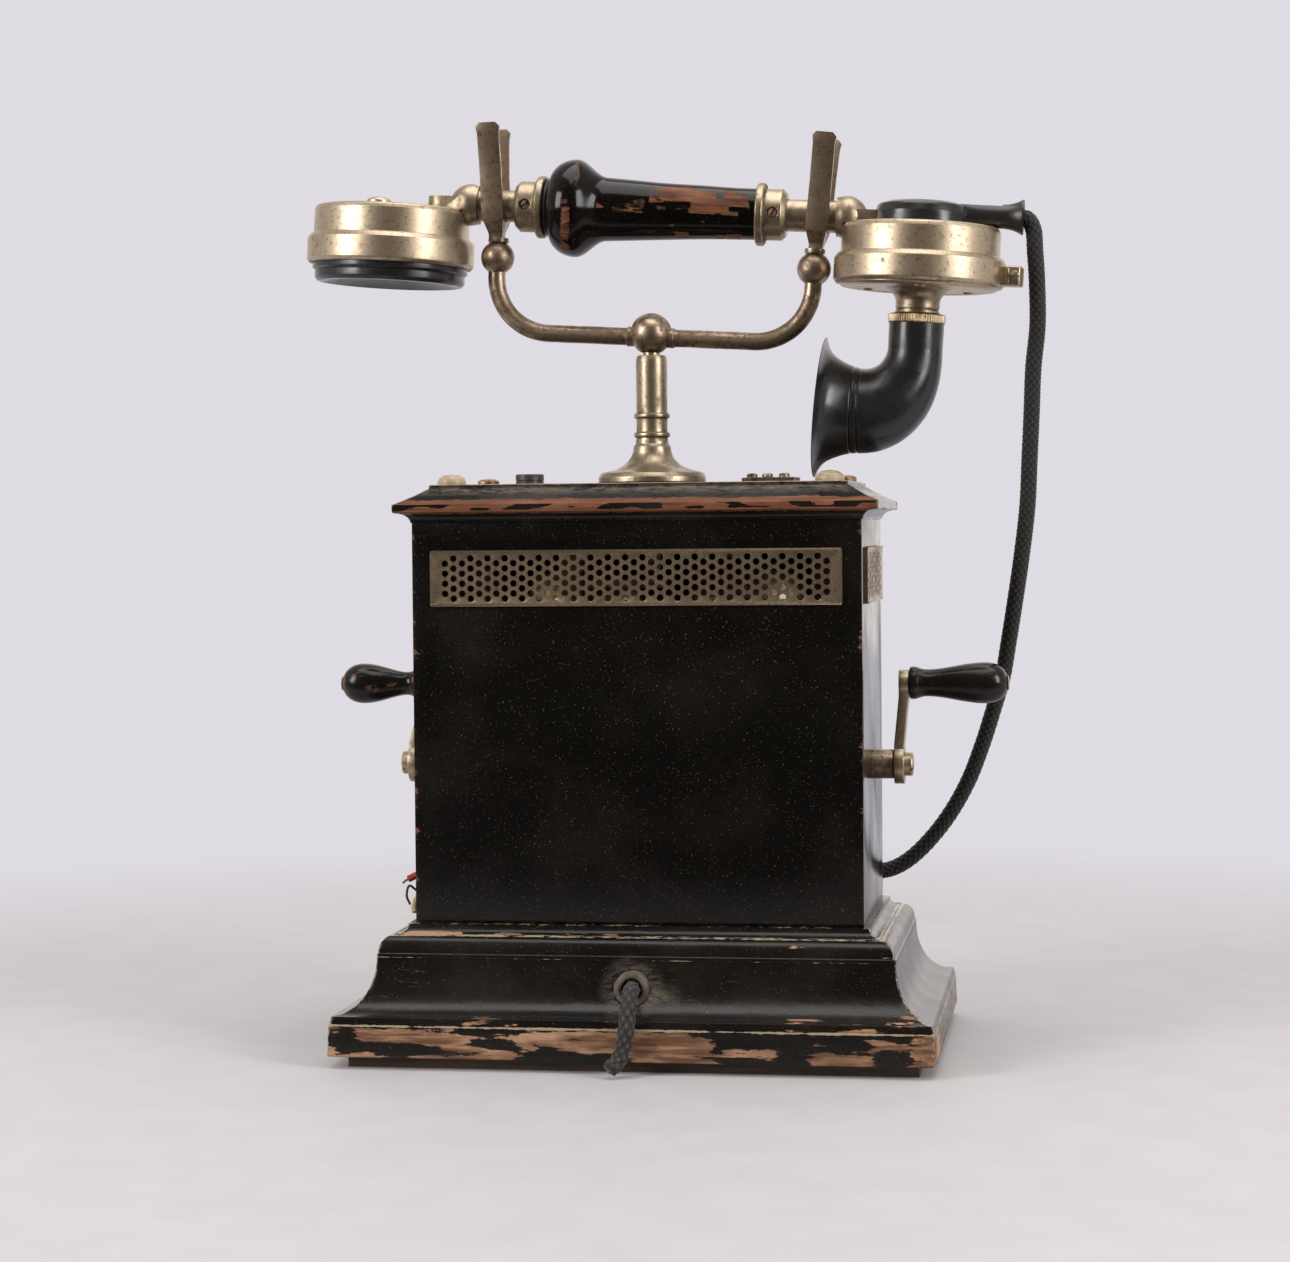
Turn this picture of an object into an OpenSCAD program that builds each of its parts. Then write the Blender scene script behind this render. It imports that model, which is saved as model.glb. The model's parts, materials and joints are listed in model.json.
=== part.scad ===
// Magneto desk telephone: a black wooden case on a moulded plinth, a sprung cradle
// on a turned post, a hand set with a curved mouthpiece horn, and a crank at each side.
// Millimetres. Z is up, the grille faces -Y, and the origin is under the middle of the
// base board, on the surface that the telephone stands on.

/* [Case] */
// Width of the case, side to side
case_w = 166; // [156:1:190]
// Depth of the case, front to back
case_d = 92; // [88:1:110]
// Height of the case walls
case_h = 148; // [144:1:170]
// Thickness of the case walls
wall_t = 7; // [6:0.5:8]
// Side of the square posts in the corners
post_side = 10; // [8:1:11]

/* [Plinth] */
// Height of the base board below the plinth
foot_h = 4; // [3:0.5:6]
// Thickness of the base board
board_t = 6; // [5.5:0.5:8]
// How far the base board stays inside the plinth's edge
board_inset = 6; // [4:1:12]
// How far the plinth's band stands out from the case
plinth_over = 27; // [24:1:32]
// Height of the plinth's straight band
band_h = 12; // [8:1:16]
// Height of the bevel above the band
bevel_h = 3; // [2:0.5:4]
// Height of the plinth's hollow moulding
cove_h = 19.6; // [16:0.2:24]
// How far the top of the hollow moulding stands out from the case
cove_over = 12.3; // [11:0.1:14]
// Height of the round moulding above the hollow one
torus_h = 7.9; // [6:0.1:10]
// Height of the ledge that the case stands on
ledge_h = 3.7; // [3:0.1:5]
// How far the ledge's upper edge stands out from the case
ledge_over = 2.5; // [2:0.1:4]
// Wood left around the hollow of the plinth, inside the case walls
shelf_w = 8; // [6:1:10]
// Thickness of the board that carries the generator
deck_t = 6; // [5:0.5:8]

/* [Lid] */
// Thickness of the lid
lid_h = 14; // [12:0.5:17]
// How far the lid's nose stands out from the case
nose_over = 6.2; // [5:0.1:8]
// How far the lid's flat top stays inside the case's outline
lid_top_in = 5.3; // [4:0.1:7]
// Height of the lid's nose above its underside
nose_z = 3.8; // [3:0.1:5]
// Height of the flat edge of the nose
nose_h = 2.8; // [2:0.1:4]
// Distance from the lid screws to the outside of the case walls
lid_screw_in = 12.5; // [12:0.5:14]
// Radius of the ivory caps over the front screws
dome_r = 5.4; // [4.5:0.1:5.8]
// Height of the ivory caps
dome_h = 4; // [3:0.1:5]

/* [Grilles] */
// Distance from the ends of the front grille to the case's sides
grille_side_gap = 7; // [7:1:20]
// Distance from the ends of each side grille to the case's front and back
side_grille_gap = 10; // [9:1:24]
// Height of the grilles
grille_h = 20.6; // [20:0.2:24]
// Thickness of the grilles
grille_t = 1.6; // [1:0.1:2.4]
// Distance from the top of the case walls to the top of the grilles
grille_drop = 10.4; // [8:0.2:14]
// Distance between the columns of holes
hole_pitch = 3.2; // [2.8:0.1:4]
// Distance between the holes in a column
hole_row = 3.7; // [3.2:0.1:3.8]
// Diameter of the grille holes
hole_d = 2; // [1.4:0.1:2.2]
// Plain edge around the sound windows behind the grilles
grille_rim = 2; // [1.5:0.1:3]

/* [Post and cradle] */
// Radius of the post's round foot
foot_r = 20.4; // [18:0.2:24]
// Height of the post's foot, up to the sleeve
foot_rise = 14; // [12:0.5:18]
// Radius of the post's sleeve
sleeve_r = 5.9; // [5.2:0.1:7]
// Height of the post above the lid
sleeve_h = 48.6; // [44:0.2:54]
// Radius of the plunger rod in the post
rod_r = 3.2; // [2.6:0.1:3.6]
// Radius of the ball at the middle of the cradle
hub_ball_r = 7.9; // [7.2:0.1:9]
// Lean of the cradle, its right end low, in degrees
cradle_tilt = 3.3; // [0:0.1:3.6]
// Rise of the cradle when the hand set is taken off
cradle_rise = 6; // [4:0.5:7]
// Radius of the cradle's two arms
arm_r = 3.3; // [2.6:0.1:3.6]
// Distance from the cradle's middle to each fork
fork_x = 60.6; // [60:0.2:61.2]
// Radius of the bend in each arm
bend_r = 21; // [16:0.5:24]
// Height of the fork balls above the middle ball
fork_ball_z = 26.7; // [26:0.1:28]
// Radius of the ball under each fork
fork_ball_r = 6.4; // [5.5:0.1:6.4]
// Outward lean of the forks, in degrees
fork_lean = 3; // [0:0.5:5]
// Lean of the left fork away from the middle, in degrees
left_fork_lean = 4.8; // [0:0.2:4.8]
// Width of the fork tines
tine_w = 8.2; // [6:0.2:8.4]
// Thickness of the fork tines
tine_t = 1.8; // [1.4:0.1:2.6]
// Height of the tines above the fork's ball centre
tine_h = 50; // [42:1:54]

/* [Hand set] */
// Height of the hand set's axis above the middle ball of the cradle
axis_z = 46.4; // [46:0.1:48]
// Radius of the hand set's metal tube
tube_r = 6; // [5:0.1:6.2]
// Distance from the middle to each elbow's mouth
elbow_x = 68.4; // [68.4:0.1:69.2]
// Distance from the cradle's middle to the receiver's centre
receiver_x = 102.5; // [100:0.5:105]
// Distance from the cradle's middle to the transmitter's centre
transmitter_x = 100.1; // [98:0.5:102]
// Radius of the receiver and transmitter cups
cup_r = 29.7; // [28:0.1:31]
// Radius of the cups' screwed rings
ring_r = 32; // [31.6:0.1:34]
// Height of the screwed rings
ring_h = 11.2; // [9:0.2:12]
// Height of a cup above its ring
cup_top_h = 10.8; // [9:0.2:14]
// Drop from the hand set's axis to the top of the cups
cup_drop = 2.6; // [2:0.1:4]
// Thickness of the cups' walls
cup_wall = 1.6; // [1.2:0.1:2.2]
// How far the black earpiece stands out below its ring
ear_h = 6.9; // [5:0.1:9]
// Radius of the wooden grip at its bulb
bulb_r = 18.4; // [16:0.1:20]
// Radius of the wooden grip at its waist
waist_r = 12; // [10.5:0.1:14]
// Radius of the wooden grip at its right end
grip_end_r = 9.7; // [8.6:0.1:10.5]

/* [Mouthpiece] */
// Radius of the mouthpiece's neck
neck_r = 7.7; // [6.8:0.1:8.6]
// Radius of the knurled brass ring
knurl_r = 10.8; // [10:0.1:12]
// Height of the knurled brass ring
knurl_h = 3.6; // [3:0.1:5]
// Radius of the horn at its top
horn_r = 10.3; // [9.8:0.1:10.8]
// Radius of the horn before it flares
throat_r = 15.9; // [14:0.1:17]
// Radius of the horn's lip
lip_r = 26.4; // [24:0.1:26.6]
// Radius of the horn's bend at its top
horn_bend_r = 18.8; // [17.5:0.1:20]
// Radius of the horn's bend at its foot
horn_bend_h = 23.7; // [21:0.1:23.8]
// Wall of the horn
horn_wall = 1.3; // [1:0.1:2]

/* [Cranks and generator] */
// Height of the crank shaft above the case floor
shaft_rise = 55.8; // [54:0.2:58]
// Radius of the crank shaft
shaft_r = 3; // [2.4:0.1:3.4]
// Distance from the crank shaft to a handle's pin
crank_r = 30.5; // [28:0.5:34]
// Thickness of the crank arms
crank_t = 3.7; // [3:0.1:4.4]
// Length of the right handle
handle_len = 36.6; // [30:0.2:42]
// Length of the left handle
short_handle_len = 31.2; // [28:0.2:40]
// Largest radius of the handles
handle_r = 7.7; // [6.4:0.1:8.2]
// Teeth of the crank gear
gear_teeth = 60; // [52:4:60]
// Teeth of the armature's pinion
pinion_teeth = 12; // [12:4:16]
// Tooth size, as pitch diameter per tooth
gear_module = 0.9; // [0.8:0.05:0.95]
// Radius of the armature
armature_r = 12.3; // [11:0.1:12.6]
// Thickness of the horseshoe magnets
magnet_t = 7; // [5:0.5:7.5]
// Width of one magnet along the shaft
magnet_w = 18; // [14:1:18]

/* [Ringer] */
// Radius of the two gongs
gong_r = 24; // [20:0.5:24]
// Distance from the middle to each gong's centre
gong_x = 31; // [30.5:0.5:32]
// Swing of the clapper to each side, in degrees
clapper_swing = 4; // [2:0.5:4]

/* [Cords] */
// Radius of the braided hand set cord
cord_r = 3.25; // [2.6:0.05:3.4]
// Radius of the braided line cord
line_r = 3.1; // [2.5:0.1:3.2]

/* [Hidden] */
$fn = 64;
fit = 0.05;
seat_gap = 0.3;
overlap = 1;
long = 400;

case_z0 = foot_h + band_h + bevel_h + cove_h + torus_h + ledge_h;
case_z1 = case_z0 + case_h;
lid_z1 = case_z1 + lid_h;
half_w = case_w / 2;
half_d = case_d / 2;
inner_w = case_w - 2 * wall_t;
inner_d = case_d - 2 * wall_t;
deck_z1 = case_z0 + deck_t;
deck_gap = 0.2;
cove_z0 = foot_h + band_h + bevel_h;
cap_z0 = cove_z0 + cove_h;
hollow_w = inner_w - 2 * shelf_w;
hollow_d = inner_d - 2 * shelf_w;
lip_over = ledge_over + 4.7;
bevel_in = 1;

grille_z = case_z1 - grille_drop - grille_h / 2;
grille_w = case_w - 2 * grille_side_gap;
side_grille_w = case_d - 2 * side_grille_gap;
window_edge = 2 * grille_rim + 4;
lid_screw_x = half_w - lid_screw_in;
lid_screw_y = half_d - lid_screw_in;

shaft_z = case_z0 + shaft_rise;
gear_gap = gear_module * (gear_teeth + pinion_teeth) / 2;
armature_z = shaft_z - gear_gap;
hub_x = half_w + 8.3;
bush_r = 5.5;
hub_r = 7.4;
pin_r = 2;
pin_boss_r = 5;
right_jog = 1.8;
left_jog = -4.9;

ball_z = lid_z1 + sleeve_h + hub_ball_r + 0.3;
plunger_end = case_z1 - 22;
lever_arm = 30;
lever_pivot_x = -lever_arm;
lever_top = plunger_end - seat_gap;

cup_z = -cup_drop;
ring_z1 = cup_z - cup_top_h;
ring_z0 = ring_z1 - ring_h;
neck_z1 = ring_z0 - 1.1;
knurl_z1 = neck_z1 - 9.5;
knurl_z0 = knurl_z1 - knurl_h;
grip_x0 = -41;
grip_x1 = 38.2;
socket_z = cup_z + 4.7;
mouth_x = 37.6;

// Where the hand set cord leaves its socket on the transmitter, and where it enters the back.
socket_reach = transmitter_x + mouth_x - 1.9;
socket_up = axis_z + socket_z;
cord_start = [socket_reach * cos(cradle_tilt) + socket_up * sin(cradle_tilt), 0,
    ball_z - socket_reach * sin(cradle_tilt) + socket_up * cos(cradle_tilt)];
handset_entry = [half_w - 17, case_z0 + 7.8];
cord_end = [handset_entry[0], half_d, handset_entry[1]];
// Points of the hand set cord, which follow its two ends when these move.
handset_points = [
    [138.37, 0, 309.6], [141.8, 0, 308.7], [143.9, 0.3, 304.6], [144.4, 1, 297], [145, 2.5, 286],
    [145.1, 4.5, 270], [143.4, 7.5, 254], [142.6, 10.5, 237], [141.7, 13, 220], [140.7, 16, 202],
    [138.2, 19, 182], [135.7, 22.5, 166], [133, 27, 150], [130.6, 32.5, 137], [126.9, 38.5, 124.5],
    [122, 44.5, 109.5], [116, 48.5, 94.5], [107.5, 52, 80], [97, 55.5, 67.5], [87.5, 58, 60.5],
    [78, 58.5, 58.3], [70.5, 56, 58], [66.8, 51.5, 58], [66, 46, 58]
];
handset_route = between(handset_points, cord_start, cord_end, 1);
// Points of the line cord, from inside the plinth to its cut end on the table.
line_entry = [0, foot_h + band_h + 13];
line_points = [
    [0, -56, 29], [0.3, -63, 29], [0.6, -69.5, 27.6], [0.8, -74.6, 23.6], [0.6, -77.3, 17.5],
    [-0.4, -78.2, 11], [-2, -79.6, 6.4], [-4.6, -82.6, 3.6]
];
line_route = between(line_points, [line_entry[0], -half_d - 10, line_entry[1]],
    [-4.6, -half_d - plinth_over - 9.6, line_r + 0.5], 2.4);
// Points of the three wire ends at the left side, from the lower front corner of the case.
wire_corner = [-half_w, -half_d, case_z0];
red_wire = [for (p = [[1, 16, 15.8], [-3, 15.5, 15.8], [-6.5, 14.5, 14.3]]) wire_corner + p];
black_wire = [for (p = [[1, 16, 7.8], [-3, 15.5, 9.8], [-6, 15, 11.8], [-7, 14.5, 8.3], [-5.6, 14, 4.8]])
    wire_corner + p];
cream_wire = [for (p = [[1, 20, 7.8], [-3.5, 19.5, 7.3], [-5, 18.5, 3.8], [-4.6, 17.5, 1.4]])
    wire_corner + p];

// ---- Shapes that repeat ----

// The same line of points with its ends moved. The later points follow the end, sooner if haste is more.
function between(points, start, end, haste) =
    let (last = len(points) - 1)
    [for (i = [0 : last]) let (t = min(1, haste * i / last))
        points[i] + (1 - t) * (start - points[0]) + t * (end - points[last])];

// Outline of a moulding: points are [distance out from the case, height].
function both_sides(points, half) = concat(
    [for (p = points) [half + p[0], p[1]]],
    [for (i = [len(points) - 1 : -1 : 0]) [-half - points[i][0], points[i][1]]]);

// A moulding that runs around the case with mitred corners.
module moulding(points) {
    intersection() {
        rotate([90, 0, 0])
            linear_extrude(height = long, center = true) polygon(both_sides(points, half_w));
        rotate([90, 0, 90])
            linear_extrude(height = long, center = true) polygon(both_sides(points, half_d));
    }
}

module block(x0, x1, y0, y1, z0, z1) {
    translate([x0, y0, z0]) cube([x1 - x0, y1 - y0, z1 - z0]);
}

module centred_block(w, d, z0, z1) {
    block(-w / 2, w / 2, -d / 2, d / 2, z0, z1);
}

module rod_x(x0, x1, r) {
    translate([x0, 0, 0]) rotate([0, 90, 0]) cylinder(h = x1 - x0, r = r);
}

module rod_y(y0, y1, r) {
    translate([0, y0, 0]) rotate([-90, 0, 0]) cylinder(h = y1 - y0, r = r);
}

// A slotted screw whose head stands on z = 0 and whose shank points down.
module slotted_screw(head_r, head_h, shank_r, shank_l) {
    difference() {
        union() {
            cylinder(h = head_h, r = head_r);
            translate([0, 0, -shank_l]) cylinder(h = shank_l + overlap / 2, r = shank_r);
        }
        translate([0, 0, head_h]) cube([3 * head_r, head_h / 2, head_h], center = true);
    }
}

// A countersunk screw whose flat head lies at z = 0 and whose shank points down.
module flat_screw(head_r, shank_r, shank_l) {
    difference() {
        rotate_extrude()
            polygon([[0, 0], [head_r, 0], [shank_r, shank_r - head_r], [shank_r, -shank_l], [0, -shank_l]]);
        cube([3 * head_r, head_r / 4, head_r / 2], center = true);
    }
}

module flat_screw_hole(head_r, shank_r, shank_l) {
    rotate_extrude()
        polygon([[0, overlap], [head_r + fit, overlap], [head_r + fit, 0],
            [shank_r + fit, shank_r - head_r], [shank_r + fit, -shank_l - fit], [0, -shank_l - fit]]);
}

module on_lid(x, y) {
    translate([x, y, lid_z1]) children();
}

module in_cradle() {
    translate([0, 0, ball_z]) rotate([0, cradle_tilt, 0]) children();
}

module in_handset() {
    in_cradle() translate([0, 0, axis_z]) children();
}

module at_receiver() {
    in_handset() translate([-receiver_x, 0, 0]) children();
}

module at_transmitter() {
    in_handset() translate([transmitter_x, 0, 0]) children();
}

function unit(v) = v / norm(v);
function heading(path, i) = unit(path[min(i + 1, len(path) - 1)] - path[max(i - 1, 0)]);

// One pair of cross directions at each point, carried along without twist.
function carried(path, side, i = 0) =
    i == len(path) ? [] :
    let (t = heading(path, i), a = unit(side - (side * t) * t))
    concat([[a, cross(t, a)]], carried(path, a, i + 1));

// A round tube along a list of points.
module tube_along(path, r, sides) {
    frames = carried(path, [0, 1, 0.3]);
    last = len(path) - 1;
    polyhedron(
        points = [for (i = [0 : last], j = [0 : sides - 1])
            path[i] + r * (cos(360 * j / sides) * frames[i][0] + sin(360 * j / sides) * frames[i][1])],
        faces = concat(
            [[for (j = [0 : sides - 1]) j]],
            [for (i = [0 : last - 1], j = [0 : sides - 1])
                let (k = (j + 1) % sides)
                [i * sides + k, i * sides + j, (i + 1) * sides + j, (i + 1) * sides + k]],
            [[for (j = [sides - 1 : -1 : 0]) last * sides + j]]),
        convexity = 4);
}

// ---- Base and case ----

bottom_screw_x = half_w - 20;
bottom_screw_y = half_d + 4;
bottom_screw = [3.4, 1.7, 16];

module at_bottom_screws() {
    for (x = [-1, 1], y = [-1, 1])
        translate([x * bottom_screw_x, y * bottom_screw_y, 0.2]) rotate([180, 0, 0]) children();
}

module base_board() {
    color([0.33, 0.24, 0.16]) difference() {
        centred_block(case_w + 2 * (plinth_over - board_inset), case_d + 2 * (plinth_over - board_inset),
            0, board_t);
        at_bottom_screws() flat_screw_hole(bottom_screw[0], bottom_screw[1], bottom_screw[2]);
    }
}

module bottom_screws() {
    color([0.55, 0.5, 0.4])
        at_bottom_screws() flat_screw(bottom_screw[0], bottom_screw[1], bottom_screw[2]);
}

// Four lengths of moulding, mitred at the corners with a hair's gap.
module plinth() {
    cove = [for (a = [0 : 10 : 90])
        [plinth_over - bevel_in - (plinth_over - bevel_in - cove_over) * sin(a), cap_z0 - cove_h * cos(a)]];
    color([0.09, 0.08, 0.07]) difference() {
        moulding(concat([[plinth_over + 0.4, foot_h], [plinth_over, foot_h + band_h]], cove));
        centred_block(case_w + 2 * (plinth_over - board_inset) + 2 * fit,
            case_d + 2 * (plinth_over - board_inset) + 2 * fit, foot_h - overlap, board_t);
        centred_block(hollow_w, hollow_d, 0, cap_z0 + overlap);
        at_bottom_screws() flat_screw_hole(bottom_screw[0], bottom_screw[1], bottom_screw[2]);
        translate([line_entry[0], 0, line_entry[1]])
            rod_y(-half_d - plinth_over, -hollow_d / 2 + overlap, bushing_r + fit);
        for (x = [-1, 1], y = [-1, 1]) translate([x * half_w, y * half_d, 0]) rotate([0, 0, x * y * 45])
            centred_block(4 * plinth_over, fit, 0, case_z0);
    }
}

module plinth_cap() {
    torus = [for (a = [0 : 15 : 90])
        [lip_over + (cove_over - 0.5 - lip_over) * cos(a), cap_z0 + 1.9 + (torus_h - 1.9) * sin(a)]];
    ledge = [for (a = [0 : 15 : 90])
        [lip_over - (lip_over - ledge_over) * sin(a), case_z0 - ledge_h * cos(a)]];
    color([0.08, 0.07, 0.06]) difference() {
        moulding(concat([[cove_over, cap_z0]], torus, ledge));
        centred_block(hollow_w, hollow_d, 0, case_z0 + overlap);
    }
}

module front_panel() {
    color([0.07, 0.06, 0.05]) difference() {
        block(-inner_w / 2, inner_w / 2, -half_d, -half_d + wall_t, case_z0, case_z1);
        translate([0, -half_d + wall_t / 2, grille_z])
            cube([grille_w - window_edge, 2 * wall_t, grille_h - 2 * grille_rim], center = true);
    }
}

module back_panel() {
    color([0.07, 0.06, 0.05]) difference() {
        block(-inner_w / 2, inner_w / 2, half_d - wall_t, half_d, case_z0, case_z1);
        translate([handset_entry[0], 0, handset_entry[1]]) rod_y(0, half_d + overlap, bushing_r + fit);
    }
}

module side_panel() {
    difference() {
        block(half_w - wall_t, half_w, -half_d, half_d, case_z0, case_z1);
        translate([half_w - wall_t / 2, 0, grille_z])
            cube([2 * wall_t, side_grille_w - window_edge, grille_h - 2 * grille_rim], center = true);
        translate([0, 0, shaft_z]) rod_x(0, long, bush_r + fit);
    }
}

module left_side() {
    color([0.06, 0.05, 0.05]) difference() {
        mirror([1, 0, 0]) side_panel();
        for (wire = [red_wire, black_wire, cream_wire])
            translate([0, wire[0][1], wire[0][2]]) rod_x(-long, 0, wire_hole_r);
    }
}

module right_side() {
    color([0.06, 0.05, 0.05]) side_panel();
}

module corner_posts() {
    color([0.45, 0.33, 0.21]) for (x = [-1, 1], y = [-1, 1]) difference() {
        translate([x * (inner_w / 2 - deck_gap - post_side / 2), y * (inner_d / 2 - deck_gap - post_side / 2), 0])
            centred_block(post_side, post_side, deck_z1, case_z1);
        translate([x * lid_screw_x, y * lid_screw_y, case_z1 - lid_screw_l])
            cylinder(h = lid_screw_l + overlap, r = lid_shank_r + fit);
    }
}

deck_hole_in = 18;
deck_hole_r = 5;

module deck() {
    color([0.42, 0.31, 0.2]) difference() {
        centred_block(inner_w - 2 * deck_gap, inner_d - 2 * deck_gap, case_z0, deck_z1);
        for (x = [-1, 1]) translate([x * (inner_w / 2 - deck_hole_in), 0, case_z0 - overlap])
            cylinder(h = deck_t + 2 * overlap, r = deck_hole_r);
    }
}

// ---- Lid and what stands on it ----

lid_screw_l = 12;
lid_shank_r = 1.6;
button = [-half_w + 35.6, 0];
button_r = 5.4;
button_h = 4.2;
button_travel = 2.5;
flange_r = 6.6;
tail_r = 5;
arrester = [half_w - 36.1, -half_d + 31];
arrester_size = [21, 12, 1.8];
arrester_screws = [[-7, 0], [-1.5, 2], [5, 0]];

module lid() {
    under = [for (a = [0 : 15 : 90])
        [nose_over - 0.6 - (nose_over - 1.2) * cos(a), case_z1 + (nose_z - 0.3) * sin(a)]];
    slope = [for (a = [0 : 10 : 90])
        [-lid_top_in + (nose_over + lid_top_in) * (1 - sin(a)) , lid_z1 - 1.4
            - (lid_h - 1.4 - nose_z - nose_h) * cos(a)]];
    color([0.1, 0.08, 0.06]) difference() {
        moulding(concat(under, [[nose_over, case_z1 + nose_z]], slope, [[-lid_top_in, lid_z1]]));
        on_lid(0, 0) translate([0, 0, -2 * lid_h]) cylinder(h = 3 * lid_h, r = tail_r + fit);
        on_lid(button[0], button[1]) {
            translate([0, 0, -2 * lid_h]) cylinder(h = 3 * lid_h, r = button_r + fit);
            translate([0, 0, -2 * lid_h]) cylinder(h = lid_h + button_well, r = flange_r + seat_gap);
        }
        for (x = [-1, 1], y = [-1, 1]) on_lid(x * lid_screw_x, y * lid_screw_y)
            translate([0, 0, -2 * lid_h]) cylinder(h = 3 * lid_h, r = lid_shank_r + fit);
        for (p = arrester_screws) on_lid(arrester[0] + p[0], arrester[1] + p[1])
            translate([0, 0, -arrester_screw_l]) cylinder(h = 2 * lid_h, r = 1 + fit);
    }
}

button_well = 4;
arrester_screw_l = 8;

module ivory_domes() {
    color([0.78, 0.7, 0.52]) for (x = [-1, 1]) on_lid(x * lid_screw_x, -lid_screw_y) {
        rotate_extrude() polygon(concat([[0, 0]],
            [for (a = [0 : 15 : 90]) [dome_r * cos(a), 0.8 + (dome_h - 0.8) * sin(a)]], [[0, dome_h]]));
        cylinder(h = 0.8, r = dome_r);
        translate([0, 0, -lid_h - lid_screw_l + overlap]) cylinder(h = lid_h + lid_screw_l, r = lid_shank_r);
    }
}

module lid_screws() {
    color([0.62, 0.56, 0.44]) for (x = [-1, 1]) on_lid(x * lid_screw_x, lid_screw_y)
        rotate([0, 0, 30 * x]) slotted_screw(4.3, 3.2, lid_shank_r, lid_h + lid_screw_l - overlap);
}

// Staggered columns of holes, with one row fewer in the end columns.
module grille(w) {
    columns = 2 * floor((w - 2 * grille_rim - 7) / hole_pitch / 2) + 1;
    difference() {
        translate([-w / 2, -grille_t, -grille_h / 2]) cube([w, grille_t, grille_h]);
        for (c = [0 : columns - 1])
            let (rows = c % 2 == 0 ? 4 : 5)
            for (k = [0 : rows - 1])
                translate([(c - (columns - 1) / 2) * hole_pitch, 0, (k - (rows - 1) / 2) * hole_row])
                    rod_y(-2 * grille_t, grille_t, hole_d / 2);
    }
}

module front_grille() {
    color([0.66, 0.62, 0.54]) translate([0, -half_d, grille_z]) grille(grille_w);
}

module side_grilles() {
    color([0.6, 0.56, 0.48]) {
        translate([half_w, 0, grille_z]) rotate([0, 0, 90]) grille(side_grille_w);
        translate([-half_w, 0, grille_z]) rotate([0, 0, -90]) grille(side_grille_w);
    }
}

bushing_r = 6.4;
wire_hole_r = 1.4;
line_bushing_y = -half_d - cove_over - 4.2;

module bushing(bore_r, y0, y1) {
    difference() {
        rod_y(y0, y1, bushing_r);
        rod_y(y0 - overlap, y1 + overlap, bore_r);
    }
}

module cord_bushings() {
    color([0.14, 0.11, 0.09]) {
        translate([line_entry[0], 0, line_entry[1]])
            bushing(line_r + 0.7, line_bushing_y, -hollow_d / 2);
        translate([handset_entry[0], 0, handset_entry[1]])
            bushing(cord_r + 0.6, half_d - wall_t, half_d + 1.6);
    }
}

module arrester_plate() {
    color([0.7, 0.66, 0.56]) on_lid(arrester[0], arrester[1]) {
        difference() {
            translate([-arrester_size[0] / 2, -arrester_size[1] / 2, 0]) cube(arrester_size);
            for (p = arrester_screws) translate([p[0], p[1], -overlap])
                cylinder(h = 3 * overlap + arrester_size[2], r = 1 + fit);
        }
        for (p = arrester_screws) translate([p[0], p[1], arrester_size[2]])
            slotted_screw(2, 1.6, 1, arrester_screw_l);
    }
}

// The foot flares in a quarter curve and ends in a rounded rim on the lid.
module post_sleeve() {
    flare = [for (a = [0 : 10 : 90])
        [foot_r - 1 - (foot_r - 1 - sleeve_r - 1.2) * sin(a), foot_rise - (foot_rise - 3.4) * cos(a)]];
    rim = [for (a = [0 : 30 : 90]) [foot_r - 1.2 + 1.2 * cos(a), 2.2 + 1.2 * sin(a)]];
    color([0.72, 0.68, 0.58]) difference() {
        union() {
            on_lid(0, 0) rotate_extrude() polygon(concat([[0, 0], [foot_r, 0]], rim, flare, [[0, foot_rise]]));
            on_lid(0, 0) cylinder(h = sleeve_h, r = sleeve_r);
            for (z = [foot_rise + 3.6, foot_rise + 10.8])
                on_lid(0, 0) translate([0, 0, z]) cylinder(h = 1.9, r = sleeve_r + 0.9);
            on_lid(0, 0) translate([0, 0, -lid_h - 6]) cylinder(h = lid_h + 7, r = tail_r);
            translate([0, 0, case_z1 - 4]) cylinder(h = 4, r = tail_r + 4, $fn = 6);
        }
        translate([0, 0, case_z1 - 10]) cylinder(h = long, r = rod_r + fit);
    }
}

// ---- Crank, gears and generator ----

gear_x = inner_w / 2 - 24;
gear_w = 4;
frame_x = [-inner_w / 2 + 27, inner_w / 2 - 33];
frame_t = 2.5;
armature_shaft_r = 2.5;
pole_gap = 0.5;

module shaft_bushes() {
    color([0.68, 0.64, 0.54]) for (side = [-1, 1]) translate([0, 0, shaft_z]) difference() {
        rod_x(side > 0 ? half_w - wall_t - 2 : -hub_x + seat_gap,
            side > 0 ? hub_x - seat_gap : -half_w + wall_t + 2, bush_r);
        rod_x(-long, long, shaft_r + fit);
    }
}

module crank_shaft() {
    color([0.6, 0.57, 0.5]) translate([0, 0, shaft_z]) rod_x(-hub_x - crank_t, hub_x + crank_t, shaft_r);
}

// A gear's outline: straight-sided teeth on a disc, a little thinner than their gaps.
module gear_outline(teeth) {
    pitch_r = gear_module * teeth / 2;
    tip_r = pitch_r + 0.75 * gear_module;
    root_r = pitch_r - 1.1 * gear_module;
    root_a = 360 / teeth * 0.34;
    tip_a = 360 / teeth * 0.11;
    polygon([for (k = [0 : teeth - 1], s = [[root_r, -root_a], [tip_r, -tip_a], [tip_r, tip_a], [root_r, root_a]])
        let (a = 360 * k / teeth + s[1]) [s[0] * cos(a), s[0] * sin(a)]]);
}

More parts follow.
